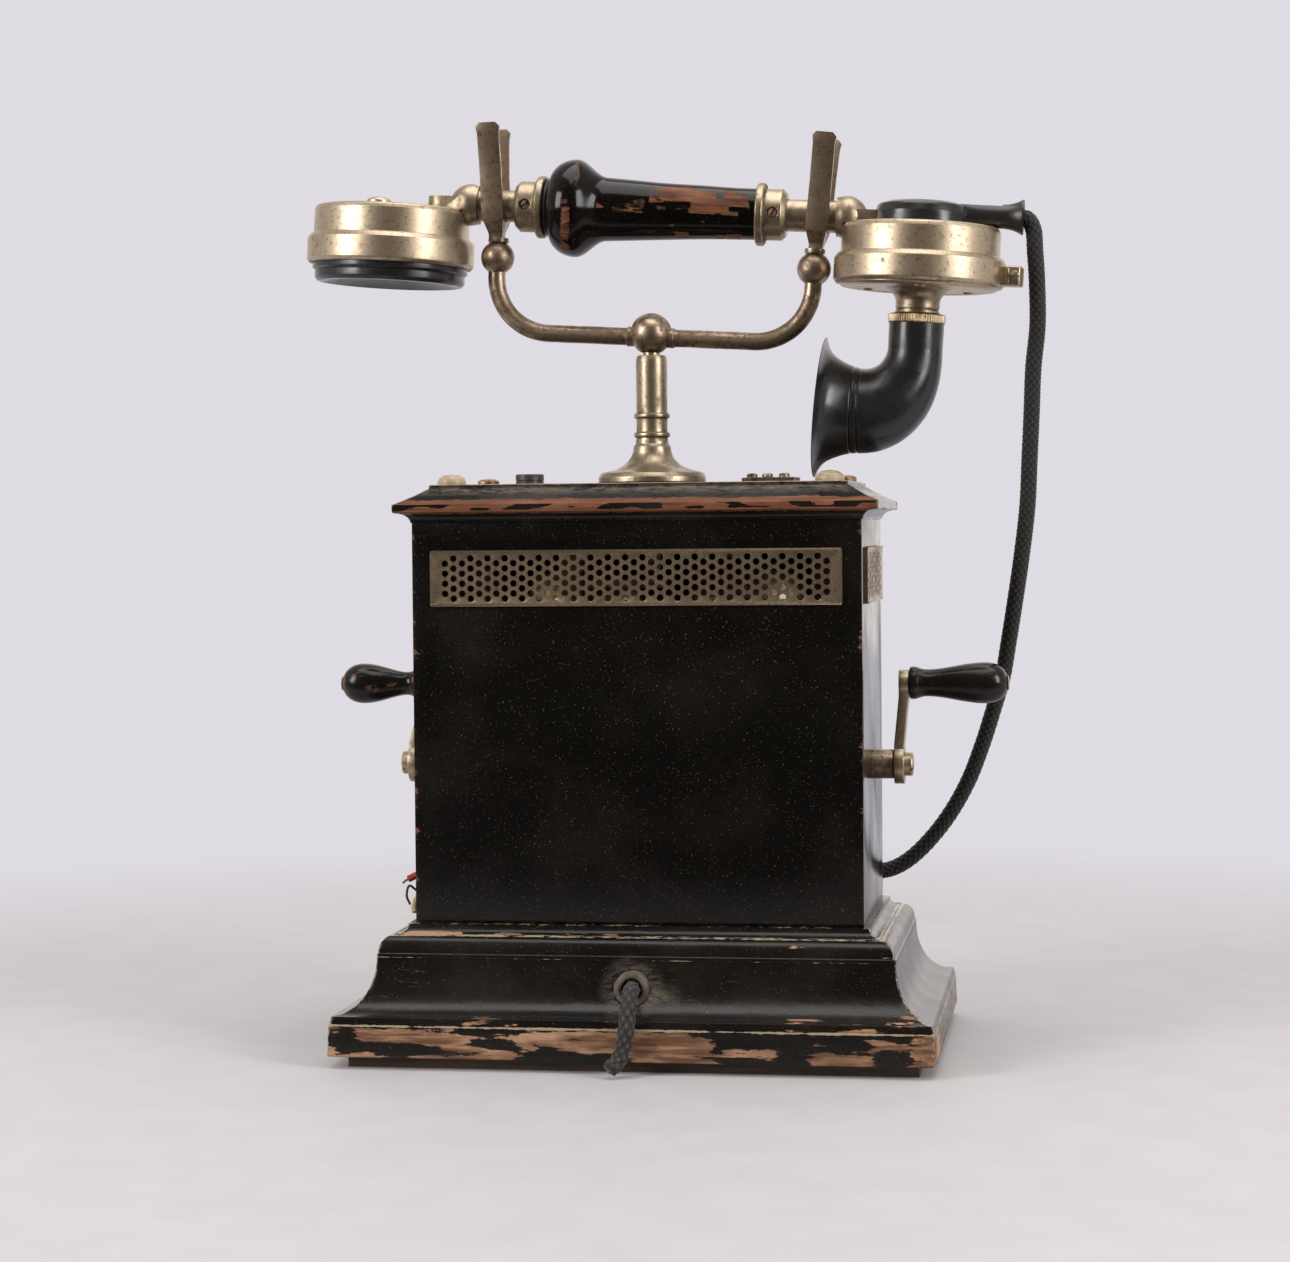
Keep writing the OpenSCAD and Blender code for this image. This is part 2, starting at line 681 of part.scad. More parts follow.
module crank_gear() {
    color([0.72, 0.58, 0.3]) translate([gear_x, 0, shaft_z]) rotate([0, 90, 0]) difference() {
        union() {
            linear_extrude(height = gear_w) gear_outline(gear_teeth);
            translate([0, 0, -3]) cylinder(h = gear_w + 7, r = 7);
        }
        translate([0, 0, -4]) cylinder(h = gear_w + 10, r = shaft_r + fit);
        for (a = [0 : 72 : 288]) rotate([0, 0, a]) translate([15, 0, -4]) cylinder(h = gear_w + 10, r = 5);
    }
}

module armature() {
    color([0.5, 0.36, 0.24]) translate([0, 0, armature_z]) {
        difference() {
            rod_x(frame_x[0] + frame_t + 3, frame_x[1] - 3, armature_r);
            for (s = [-1, 1]) translate([0, s * armature_r, 0])
                cube([long, armature_r, 7], center = true);
        }
        rod_x(frame_x[0] - 2, gear_x + gear_w + 6, armature_shaft_r);
        translate([gear_x - 0.5, 0, 0]) rotate([0, 90, 0]) rotate([0, 0, 180 / pinion_teeth])
            linear_extrude(height = gear_w + 1) gear_outline(pinion_teeth);
    }
}

magnet_leg = 14;
magnet_gap = 2;
magnet_inner = 20;
magnet_foot = 2;
magnet_count = 4;

// A horseshoe's outline, legs down, with its middle at the centre of its bend.
module arch(outer_r, extra, w) {
    translate([-w / 2, 0, 0]) {
        intersection() {
            rotate([0, 90, 0]) cylinder(h = w, r = outer_r);
            translate([-overlap, -outer_r, 0]) cube([w + 2 * overlap, 2 * outer_r, outer_r]);
        }
        translate([0, -outer_r, -magnet_leg - extra]) cube([w, 2 * outer_r, magnet_leg + extra]);
    }
}

module at_magnets() {
    for (k = [0 : magnet_count - 1])
        translate([(frame_x[0] + frame_t + frame_x[1]) / 2 + (k - (magnet_count - 1) / 2) * (magnet_w + magnet_gap),
            0, deck_z1 + magnet_foot + magnet_leg])
            children();
}

module magnets() {
    color([0.35, 0.12, 0.1]) at_magnets() difference() {
        arch(magnet_inner + magnet_t, 0, magnet_w);
        arch(magnet_inner, overlap, magnet_w + 2 * overlap);
    }
}

module generator_frame() {
    color([0.62, 0.5, 0.28]) {
        difference() {
            union() {
                block(frame_x[0], frame_x[1] + frame_t, -magnet_inner - magnet_t, magnet_inner + magnet_t,
                    deck_z1, deck_z1 + magnet_foot);
                for (x = frame_x) block(x, x + frame_t, -16, 16, deck_z1, shaft_z + shaft_r + 6);
            }
            translate([0, 0, shaft_z]) rod_x(-long, long, shaft_r + fit);
            translate([0, 0, armature_z]) rod_x(-long, long, armature_shaft_r + fit);
        }
        difference() {
            translate([(frame_x[0] + frame_t + frame_x[1]) / 2, 0, deck_z1 + magnet_foot + magnet_leg])
                arch(magnet_inner - fit, 0, frame_x[1] - frame_x[0] - frame_t - 8);
            translate([0, 0, armature_z]) rod_x(-long, long, armature_r + pole_gap);
            translate([0, 0, armature_z]) cube([long, 14, long], center = true);
        }
    }
}

// One crank arm, upright, with its hub on the shaft and a boss for the handle's pin.
module crank_arm(jog) {
    x0 = hub_x;
    x1 = hub_x + crank_t;
    difference() {
        intersection() {
            translate([x0 - 10, 0, shaft_z]) rotate([90, 0, 90]) linear_extrude(height = 30) union() {
                circle(r = hub_r);
                translate([0, crank_r]) circle(r = pin_boss_r);
                polygon([[-hub_r * 0.62, 0], [hub_r * 0.62, 0], [pin_boss_r * 0.85, crank_r],
                    [-pin_boss_r * 0.85, crank_r]]);
            }
            translate([0, 20, 0]) rotate([90, 0, 0]) linear_extrude(height = 40)
                polygon([[x0, shaft_z - 2 * hub_r], [x1, shaft_z - 2 * hub_r], [x1, shaft_z + hub_r],
                    [x1 + jog, shaft_z + crank_r - pin_boss_r], [x1 + jog, shaft_z + crank_r + 2 * pin_boss_r],
                    [x0 + jog, shaft_z + crank_r + 2 * pin_boss_r], [x0 + jog, shaft_z + crank_r - pin_boss_r],
                    [x0, shaft_z + hub_r]]);
        }
        translate([0, 0, shaft_z]) rod_x(0, x1 + overlap, shaft_r + fit);
        translate([0, 0, shaft_z + crank_r]) rod_x(0, x1 + jog + overlap, pin_r + fit);
    }
}

module crank_arms() {
    color([0.7, 0.66, 0.56]) {
        crank_arm(right_jog);
        mirror([1, 0, 0]) crank_arm(left_jog);
    }
}

// The pin that a handle turns on, with its rounded outer head, and the screw at the hub.
module crank_pin(jog, length) {
    x0 = hub_x + jog;
    x1 = hub_x + crank_t + jog + seat_gap + length;
    translate([0, 0, shaft_z + crank_r]) {
        rod_x(x0, x1 + 0.6, pin_r);
        translate([x1 + 0.3, 0, 0]) rotate([0, 90, 0]) cylinder(h = 0.8, r = 3);
    }
    translate([hub_x + crank_t, 0, shaft_z]) rotate([0, 90, 0]) difference() {
        cylinder(h = 3, r = 4.4);
        translate([0, 0, 3]) cube([10, 1.4, 2.4], center = true);
    }
}

module crank_pins() {
    color([0.66, 0.62, 0.52]) {
        crank_pin(right_jog, handle_len);
        mirror([1, 0, 0]) crank_pin(left_jog, short_handle_len);
    }
}

// A turned pear-shaped handle along +X, with a flange at its root.
module handle(jog, length, flange_l, root_r) {
    bulb = length - handle_r * 1.05;
    sweep = [for (t = [0 : 0.1 : 1])
        [flange_l + 0.6 + (bulb - flange_l - 0.6) * t, root_r + (handle_r - root_r) * (1 - cos(180 * t)) / 2]];
    tip = [for (a = [15 : 15 : 60]) [bulb + (length - bulb) * sin(a), handle_r * cos(a)]];
    translate([hub_x + crank_t + jog + seat_gap, 0, shaft_z + crank_r]) difference() {
        rotate([0, 90, 0]) rotate_extrude() polygon([for (p = concat(
            [[0, 0], [0, 6.1], [flange_l, 6.1]], sweep, tip, [[length, 2.6], [length, 0]])) [p[1], p[0]]]);
        rod_x(-overlap, length + overlap, pin_r + fit);
    }
}

module left_handle() {
    color([0.09, 0.07, 0.06]) mirror([1, 0, 0]) handle(left_jog, short_handle_len, 2.2, 4);
}

module right_handle() {
    color([0.09, 0.07, 0.06]) handle(right_jog, handle_len, 3, 4.8);
}

// ---- Ringer, coil and hook switch ----

back_y = half_d - wall_t;
gong_z = case_z1 - 33;
gong_depth = 18;
gong_wall = 1.2;
gong_rim_y = back_y - 5;
clapper_y = gong_rim_y - 3.4;
clapper_ball_r = 4.4;
pivot_z = gong_z - gong_r - 1;
coil_h = 16;
core_gap = 1.7;
coil_x = 12;
armature_bar_h = 3;

module ringer_frame() {
    color([0.6, 0.48, 0.28]) {
        block(-24, 24, back_y - 2, back_y, pivot_z - coil_h - 9, pivot_z + 7);
        block(-20, 20, back_y - 16, back_y - 2, pivot_z - coil_h - 8, pivot_z - coil_h - 4);
        for (y = [clapper_y - 7.6, clapper_y + 5.6]) difference() {
            block(-4, 4, y, y + 2, pivot_z - coil_h - 4, pivot_z + 4);
            translate([0, y - overlap, pivot_z]) rod_y(0, 2 + 2 * overlap, 1.5 + fit);
        }
        for (x = [-1, 1]) translate([x * gong_x, 0, gong_z]) {
            rod_y(gong_rim_y - gong_depth - 3, back_y, 2);
            rod_y(gong_rim_y - gong_depth - 3, gong_rim_y - gong_depth - gong_wall / 2 - 0.4, 4);
        }
    }
}

module ringer_coils() {
    color([0.2, 0.4, 0.25]) for (x = [-1, 1]) translate([x * coil_x, clapper_y, pivot_z - coil_h - 4]) {
        cylinder(h = 1.2, r = 6.4);
        cylinder(h = coil_h + 4 - armature_bar_h / 2 - core_gap, r = 2.6);
        translate([0, 0, 1]) cylinder(h = coil_h - 2.6, r = 5.6);
        translate([0, 0, coil_h - 1.8]) cylinder(h = 1.2, r = 6.4);
    }
}

// A shallow bell, open towards the back, hung on its post.
module gong() {
    outer = [for (a = [0 : 10 : 80]) [gong_r * cos(a), gong_depth * sin(a)]];
    inner = [for (a = [80 : -10 : 0]) [(gong_r - gong_wall) * cos(a), (gong_depth - gong_wall) * sin(a)]];
    translate([0, gong_rim_y, gong_z]) rotate([90, 0, 0]) rotate_extrude()
        polygon(concat(outer, [[2 + fit, gong_depth * sin(80)]], [[2 + fit, (gong_depth - gong_wall) * sin(80)]],
            inner));
}

module gongs() {
    color([0.78, 0.66, 0.36]) for (x = [-1, 1]) translate([x * gong_x, 0, 0]) gong();
}

module clapper() {
    color([0.55, 0.52, 0.46]) translate([0, clapper_y, 0]) {
        translate([0, 0, pivot_z]) rod_y(-7.6, back_y - 2.1 - clapper_y, 1.5);
        block(-17, 17, -5, 5, pivot_z - armature_bar_h / 2, pivot_z + armature_bar_h / 2);
        translate([0, 0, pivot_z + 1]) cylinder(h = gong_z - pivot_z - 1, r = 1);
        translate([0, 0, gong_z]) sphere(r = clapper_ball_r);
    }
}

spool_end = hollow_w / 2 - 22;
spool_flange_t = 4;
spool_flange_side = 28;
spool_r = 11;
spool_core_r = 3;

module induction_coil() {
    middle_z = board_t + spool_flange_side / 2;
    color([0.16, 0.3, 0.2]) {
        for (x = [-spool_end, spool_end - spool_flange_t])
            block(x, x + spool_flange_t, -spool_flange_side / 2, spool_flange_side / 2, board_t,
                board_t + spool_flange_side);
        translate([0, 0, middle_z]) rod_x(-spool_end + spool_flange_t, spool_end - spool_flange_t, spool_r);
    }
    color([0.7, 0.6, 0.35]) translate([0, 0, middle_z]) rod_x(-spool_end - 6, spool_end + 6, spool_core_r);
}

lever_y = 5;
lever_h = 3;
lever_pivot_z = lever_top - lever_h / 2;
spring_x = 30;

module switch_frame() {
    color([0.62, 0.5, 0.28]) {
        translate([lever_pivot_x, 0, 0]) {
            block(-6, 6, -lever_y - 3, lever_y + 3, case_z1 - 2, case_z1);
            for (y = [-lever_y - 3, lever_y + 1]) difference() {
                block(-4, 4, y, y + 2, lever_pivot_z - 4, case_z1 - 1);
                translate([0, 0, lever_pivot_z]) rod_y(-20, 20, 1.5 + fit);
            }
        }
        translate([spring_x, 0, 0]) block(-4, 4, -6, 6, case_z1 - 2, case_z1);
        translate([button[0], button[1], 0]) block(-17, -11, -5, 5, case_z1 - 8, case_z1);
    }
}

module hook_lever() {
    color([0.66, 0.6, 0.48]) {
        block(lever_pivot_x - 3, 6, -lever_y + 0.4, lever_y - 0.4, lever_pivot_z - lever_h / 2,
            lever_pivot_z + lever_h / 2);
        translate([lever_pivot_x, 0, lever_pivot_z]) rod_y(-lever_y - 3, lever_y + 3, 1.5);
    }
}

// Leaf springs between black insulators, over the lever's end and under the push button.
module contact_springs() {
    color([0.74, 0.62, 0.36]) {
        translate([spring_x, 0, 0]) {
            block(-4, 4, -5, 5, case_z1 - 14, case_z1 - 2);
            for (z = [case_z1 - 11.6, case_z1 - 8.2]) block(-spring_x + rod_r + 1, 4, -3, 3, z, z + 0.5);
        }
        translate([button[0], button[1], 0]) {
            block(-17, -11, -3, 3, case_z1 - 12, case_z1 - 8);
            for (z = [case_z1 - 8.6, case_z1 - 11.4]) block(-14, 4, -2.5, 2.5, z, z + 0.5);
        }
    }
}

module push_button() {
    top = lid_z1 + button_h;
    color([0.05, 0.05, 0.05]) translate([button[0], button[1], 0]) {
        translate([0, 0, case_z1 - 4]) cylinder(h = top - case_z1 + 3, r = button_r);
        translate([0, 0, top - 1.2]) cylinder(h = 1.2, r = button_r - 0.5);
        translate([0, 0, case_z1 + button_well - seat_gap - 1.5]) cylinder(h = 1.5, r = flange_r);
    }
}

// ---- Post and cradle ----

module plunger() {
    color([0.74, 0.7, 0.62]) {
        translate([0, 0, plunger_end + rod_r])
            cylinder(h = ball_z - hub_ball_r + 5 - plunger_end - rod_r, r = rod_r);
        translate([0, 0, plunger_end + rod_r]) sphere(r = rod_r);
    }
}

module cradle_bow() {
    straight_x = fork_x - bend_r;
    rise_z = bend_r - bow_drop;
    color([0.74, 0.7, 0.6]) difference() {
        in_cradle() {
            sphere(r = hub_ball_r);
            for (side = [0, 1]) mirror([side, 0, 0]) translate([0, 0, -bow_drop]) {
                rod_x(hub_ball_r - 2, hub_ball_r + 1.6, arm_r + 1.1);
                rod_x(0, straight_x, arm_r);
                translate([straight_x, 0, bend_r]) rotate([90, 90, 0])
                    rotate_extrude(angle = 90) translate([bend_r, 0]) circle(r = arm_r);
                translate([fork_x, 0, bend_r])
                    cylinder(h = fork_ball_z + bow_drop - bend_r - fork_ball_r + socket, r = arm_r);
            }
        }
        translate([0, 0, ball_z - hub_ball_r - overlap]) cylinder(h = 5 + overlap + fit, r = rod_r + fit);
    }
}

bow_drop = 1.3;
socket = 2;
yoke_z = 9.4;
seat_r = tube_r + seat_gap;
axis_up = axis_z - fork_ball_z;

// Outline of a fork seen along the tube: a seat for the tube, and two tines that flare at the top.
module fork_side() {
    inner = seat_r + 0.4;
    top = tine_h;
    flare = axis_up + 12;
    difference() {
        polygon([[-inner - tine_t - 3.4, top], [-inner - tine_t - 2, top - 7], [-inner - tine_t, flare],
            [-inner - tine_t, axis_up], [-inner - tine_t + 1, axis_up - 6], [-3, yoke_z], [-2.6, 0], [2.6, 0],
            [3, yoke_z], [inner + tine_t - 1, axis_up - 6], [inner + tine_t, axis_up], [inner + tine_t, flare],
            [inner + tine_t + 2, top - 7], [inner + tine_t + 3.4, top]]);
        translate([0, axis_up]) circle(r = seat_r);
        polygon([[-seat_r, axis_up], [-inner, axis_up + 2], [-inner, flare], [-inner - 2, top - 7],
            [-inner - 3.4, top + overlap], [inner + 3.4, top + overlap], [inner + 2, top - 7],
            [inner, flare], [inner, axis_up + 2], [seat_r, axis_up]]);
    }
}

// Outline of a fork seen from the front: a thin neck, widening into the tines.
module fork_front() {
    w = tine_w / 2;
    polygon([[-2.6, 0], [-2.6, yoke_z - 0.6], [0.6 - w, yoke_z + 3], [-w, yoke_z + 6], [-w, tine_h - 4],
        [-w - 0.4, tine_h - 1.5], [-w + 1, tine_h], [w - 1, tine_h], [w + 0.4, tine_h - 1.5], [w, tine_h - 4],
        [w, yoke_z + 6], [w - 0.6, yoke_z + 3], [2.6, yoke_z - 0.6], [2.6, 0]]);
}

module fork(lean) {
    difference() {
        union() {
            sphere(r = fork_ball_r);
            translate([0, 0, fork_ball_r - 0.6]) cylinder(h = 1.6, r = 3.9);
            rotate([0, lean, 0]) intersection() {
                translate([-tine_w, 0, 0]) rotate([90, 0, 90]) linear_extrude(height = 2 * tine_w) fork_side();
                translate([0, 20, 0]) rotate([90, 0, 0]) linear_extrude(height = 40) fork_front();
            }
        }
        translate([0, 0, -fork_ball_r - overlap]) cylinder(h = socket + overlap + fit, r = arm_r + fit);
        translate([0, 0, axis_up]) rod_x(-long, long, seat_r);
    }
}

module forks() {
    color([0.74, 0.7, 0.6]) in_cradle() {
        translate([fork_x, 0, fork_ball_z]) fork(fork_lean);
        mirror([1, 0, 0]) translate([fork_x, 0, fork_ball_z]) fork(left_fork_lean);
    }
}

// ---- Hand set ----

// The grip: a bulb near the receiver, then a long taper.
module grip() {
    bulb_x = grip_x0 + 10;
    neck_x = bulb_x + 12;
    rise = [for (a = [10 : 16 : 90]) [bulb_x - 10 * cos(a), 10.4 + (bulb_r - 10.4) * sin(a)]];
    fall = [for (t = [0.1 : 0.1 : 1])
        [bulb_x + (neck_x - bulb_x) * t, waist_r + (bulb_r - waist_r) * (1 + cos(180 * t)) / 2]];
    taper = [for (t = [0.2 : 0.2 : 1])
        [neck_x + (grip_x1 - neck_x) * t, grip_end_r + (waist_r - grip_end_r) * pow(1 - t, 1.6)]];
    color([0.2, 0.1, 0.06]) in_handset() rotate([0, 90, 0]) difference() {
        rotate_extrude() polygon([for (p = concat([[grip_x0, 0], [grip_x0, 10.4]], rise, fall, taper,
            [[grip_x1, 0]])) [p[1], p[0]]]);
        translate([0, 0, -long / 2]) cylinder(h = long, r = tube_r + fit);
    }
}

tube_end = elbow_x + 2;
elbow_ball_x = elbow_x + 3.6;
washer_t = 1.6;
flange_t = 3.2;
ferrule_r = 9.6;
ferrule_flange_r = 11.8;

module handset_tube() {
    color([0.7, 0.66, 0.56]) in_handset() difference() {
        rod_x(-tube_end, tube_end, tube_r);
        rod_x(-tube_end - overlap, tube_end + overlap, tube_r - 1.5);
    }
}

module grip_washer() {
    color([0.07, 0.06, 0.06]) in_handset() difference() {
        rod_x(grip_x0 - washer_t, grip_x0, 10.6);
        rod_x(-long, long, tube_r + fit);
    }
}

// A flange against the grip, a chamfered collar, and the screw that holds it to the tube.
module ferrule(x0, collar_l) {
    difference() {
        union() {
            translate([x0, 0, 0]) rotate([0, 90, 0]) rotate_extrude() polygon([[0, 0],
                [ferrule_flange_r - 0.5, 0], [ferrule_flange_r, 0.5], [ferrule_flange_r, flange_t - 0.5],
                [ferrule_flange_r - 0.5, flange_t], [ferrule_r, flange_t], [ferrule_r, flange_t + collar_l - 1.6],
                [ferrule_r - 1.4, flange_t + collar_l], [0, flange_t + collar_l]]);
        }
        rod_x(-long, long, tube_r + fit);
        translate([x0 + flange_t + collar_l / 2 - 0.6, -ferrule_r + 0.8, 0]) rod_y(-2, 0.1, 2.1);
    }
    translate([x0 + flange_t + collar_l / 2 - 0.6, 0, 0]) difference() {
        rod_y(-ferrule_r + 0.3, -tube_r - 1, 1.8);
        translate([0, -ferrule_r, 0]) cube([6, 1.4, 0.6], center = true);
    }
}

module ferrules() {
    color([0.7, 0.66, 0.56]) in_handset() {
        ferrule(grip_x1, 8.2);
        mirror([1, 0, 0]) ferrule(-grip_x0 + washer_t, 8.2);
    }
}

lug_l = 8;
lug_h = 5.2;
lug_w = 13;

// An elbow: a socket on the tube, a ball, and a lug screwed to the top of its cup.
module elbow(cup_x) {
    difference() {
        union() {
            rod_x(elbow_x, elbow_ball_x, tube_r + 1.4);
            intersection() {
                translate([elbow_ball_x, 0, 0]) sphere(r = tube_r + 1.9);
                rod_x(elbow_x, long, cup_r);
            }
            block(elbow_ball_x - 2, elbow_ball_x + 2 + lug_l, -lug_w / 2, lug_w / 2, cup_z, cup_z + lug_h);
            translate([elbow_ball_x + 2 + lug_l, 0, cup_z]) cylinder(h = lug_h, r = lug_w / 2);
        }
        rod_x(-long, tube_end + fit, tube_r + fit);
        translate([cup_x, 0, cup_z - long]) cylinder(h = long, r = cup_r + fit);
    }
}

module elbows() {
    color([0.7, 0.66, 0.56]) in_handset() {
        difference() {
            elbow(transmitter_x);
            translate([transmitter_x, 0, cup_z - overlap]) cylinder(h = long, r = hood_r + fit);
        }
        mirror([1, 0, 0]) elbow(receiver_x);
    }
}

// A cup, closed at the top and open below, with a rounded shoulder.
module cup() {
    z0 = ring_z0 + 3.4;
    shoulder = [for (a = [0 : 15 : 90]) [cup_r - 2.4 + 2.4 * cos(a), cup_z - 2.4 + 2.4 * sin(a)]];
    rotate_extrude() polygon(concat([[cup_r, z0]], shoulder, [[0, cup_z], [0, cup_z - cup_wall],
        [cup_r - 3, cup_z - cup_wall], [cup_r - cup_wall, cup_z - 3.4], [cup_r - cup_wall, z0]]));
}

// A screwed ring around the lower part of a cup.
module cup_ring() {
    rotate_extrude() polygon([[cup_r + fit, ring_z0], [ring_r - 1, ring_z0], [ring_r, ring_z0 + 1.2],
        [ring_r, ring_z1 - 2], [ring_r - 1.2, ring_z1 - 0.4], [cup_r + fit, ring_z1]]);
}

module receiver_cup() {
    color([0.7, 0.66, 0.56]) at_receiver() {
        cup();
        translate([-5.5, 0, cup_z - 0.5]) rotate_extrude() polygon([[0, 0], [4.9, 0], [4.9, 1.1], [3.6, 2.6],
            [1.6, 3.2], [0, 3.3]]);
    }
}

module receiver_ring() {
    color([0.7, 0.66, 0.56]) at_receiver() cup_ring();
}

module receiver_diaphragm() {
    color([0.3, 0.3, 0.32]) at_receiver()
        translate([0, 0, ring_z0 + 3]) cylinder(h = 0.4, r = cup_r - 0.4);
}

module earpiece() {
    z0 = ring_z0 - ear_h;
    z1 = ring_z0 + 3;
    dish = [for (a = [0 : 15 : 90]) [5 + (cup_r - 9) * sin(a), z0 + 4.5 * (1 - sin(a) * sin(a))]];
    color([0.04, 0.04, 0.04]) at_receiver() rotate_extrude() polygon(concat(
        [[cup_r - 2, z1], [cup_r, z1], [cup_r, z0 + 1.8], [cup_r - 1.6, z0]],
        [for (i = [len(dish) - 1 : -1 : 0]) dish[i]], [[5, z1 - 1.6], [cup_r - 2, z1 - 1.6]]));
}

module receiver_magnet() {
    base_z = cup_z - cup_wall;
    color([0.4, 0.14, 0.12]) at_receiver() {
        translate([0, 0, base_z - 4]) cylinder(h = 4, r = 22);
        for (x = [-8, 8]) translate([x, 0, ring_z0 + 3.4 + 0.6]) {
            translate([0, 0, 1]) cylinder(h = base_z - ring_z0 - 8, r = 5.6);
            translate([-2, -4, 0]) cube([4, 8, 4]);
        }
    }
}

module transmitter_cup() {
    color([0.7, 0.66, 0.56]) at_transmitter() cup();
}

module transmitter_ring() {
    color([0.68, 0.64, 0.54]) at_transmitter() {
        cup_ring();
        rotate([0, 0, -8]) difference() {
            block(ring_r - 2.5, ring_r + 6.5, -4.5, 4.5, ring_z0 + 0.6, ring_z0 + 8);
            translate([0, 0, ring_z0 - overlap]) cylinder(h = ring_h + 2 * overlap, r = ring_r - 1.4);
        }
    }
}

module carbon_capsule() {
    z1 = ring_z0 + 3.4;
    color([0.62, 0.57, 0.46]) at_transmitter() difference() {
        union() {
            translate([0, 0, neck_z1]) cylinder(h = z1 - neck_z1, r = cup_r - fit);
            translate([0, 0, z1]) cylinder(h = 8, r = 20);
        }
        translate([0, 0, neck_z1 - overlap]) cylinder(h = overlap + 2, r = neck_r + 1.8 + fit);
    }
}

socket_arm_r = 4.5;
hood_r = 17.7;

// The black cap on the transmitter and its arm, which the cord comes out of.
module transmitter_cap() {
    z0 = cup_z;
    z1 = cup_z + 9;
    dome = [for (a = [0 : 15 : 90]) [hood_r - 4 + 4 * cos(a), z1 - 4 + 4 * sin(a)]];
    color([0.05, 0.045, 0.04]) at_transmitter() difference() {
        union() {
            rotate_extrude() polygon(concat([[0, z0], [hood_r, z0]], dome, [[0, z1]]));
            translate([0, 0, socket_z]) {
                rod_x(0, mouth_x - 3, socket_arm_r);
                translate([mouth_x - 4, 0, 0]) rotate([0, 90, 0]) cylinder(h = 4, r = socket_arm_r + 2.5);
            }
        }
        translate([0, 0, socket_z]) rod_x(mouth_x - 3, mouth_x + overlap, cord_r + 0.6);
    }
}

// ---- Mouthpiece ----

module mouthpiece_neck() {
    color([0.66, 0.62, 0.54]) at_transmitter() difference() {
        rotate_extrude() polygon([[0, neck_z1 + 2], [neck_r + 1.8, neck_z1 + 2], [neck_r + 1.8, neck_z1 - 1],
            [neck_r + 0.6, neck_z1 - 5], [neck_r + 0.6, knurl_z1 + seat_gap], [neck_r, knurl_z1 + seat_gap],
            [neck_r, knurl_z0], [0, knurl_z0]]);
        translate([0, 0, knurl_z0 - overlap]) cylinder(h = knurl_z1 - knurl_z0 + 7, r = neck_r - 2);
    }
}

module knurled_ring() {
    color([0.72, 0.58, 0.32]) at_transmitter() translate([0, 0, knurl_z0]) difference() {
        cylinder(h = knurl_h, r = knurl_r);
        translate([0, 0, -overlap]) cylinder(h = knurl_h + 2 * overlap, r = neck_r + fit);
        for (a = [0 : 10 : 350]) rotate([0, 0, a]) translate([knurl_r + 0.1, 0, -overlap]) rotate([0, 0, 45])
            cube([0.5, 0.5, 2 * knurl_h + 2 * overlap], center = true);
    }
}

horn_drop = 9.6;
horn_run = 15.6;
horn_lean = 2.4;

// The horn's middle line: u goes from 0 to 1 down the drop, to 2 round the bend and to 3 along the run.
function eased(t) = let (u = max(0, min(1, t))) u * u * (3 - 2 * u);
function horn_bend(u) = 90 * max(0, min(1, u - 1));
function horn_angle(u) = horn_bend(u) + horn_lean * max(0, u - 2);
function horn_point(u) =
    let (a = horn_bend(u), reach = horn_bend_r + (horn_bend_h - horn_bend_r) * eased(a / 90),
        run = horn_run * max(0, u - 2))
    [-horn_bend_r + reach * cos(a) - run * cos(horn_lean),
        -horn_drop * min(u, 1) - reach * sin(a) + run * sin(horn_lean)];
function horn_radius(u) =
    let (v = max(0, u - 2))
    horn_r + (throat_r - horn_r) * eased((u - 1.1) / 0.65)
    + (lip_r - throat_r) * (0.62 * pow(v, 1.8) + 0.38 * pow(v, 12));

module horn() {
    sides = 40;
    stations = concat([0], [for (i = [0 : 10]) 1 + i / 10], [2.15, 2.3, 2.45, 2.6, 2.7, 2.8, 2.88, 2.95, 3]);
    last = len(stations) - 1;
    rings = concat(
        [for (u = stations) [u, horn_radius(u)]],
        [for (i = [last : -1 : 0]) [stations[i], horn_radius(stations[i]) - horn_wall]]);
    count = len(rings);
    color([0.05, 0.05, 0.05]) at_transmitter() translate([0, 0, knurl_z0]) polyhedron(
        points = [for (ring = rings, j = [0 : sides - 1])
            let (p = horn_point(ring[0]), a = horn_angle(ring[0]), b = 360 * j / sides, q = ring[1] * cos(b))
            [p[0] + q * cos(a), ring[1] * sin(b), p[1] - q * sin(a)]],
        faces = [for (i = [0 : count - 1], j = [0 : sides - 1])
            let (k = (j + 1) % sides, n = (i + 1) % count)
            [i * sides + j, i * sides + k, n * sides + k, n * sides + j]],
        convexity = 8);
}

// ---- Cords ----

module handset_cord() {
    color([0.08, 0.07, 0.06]) tube_along(handset_route, cord_r, 12);
}

module line_cord() {
    color([0.15, 0.14, 0.15]) tube_along(line_route, line_r, 12);
}

module wire_ends() {
    color([0.55, 0.12, 0.08]) tube_along(red_wire, 1.3, 8);
    color([0.06, 0.06, 0.06]) tube_along(black_wire, 0.8, 8);
    color([0.7, 0.62, 0.45]) tube_along(cream_wire, 1.2, 8);
}

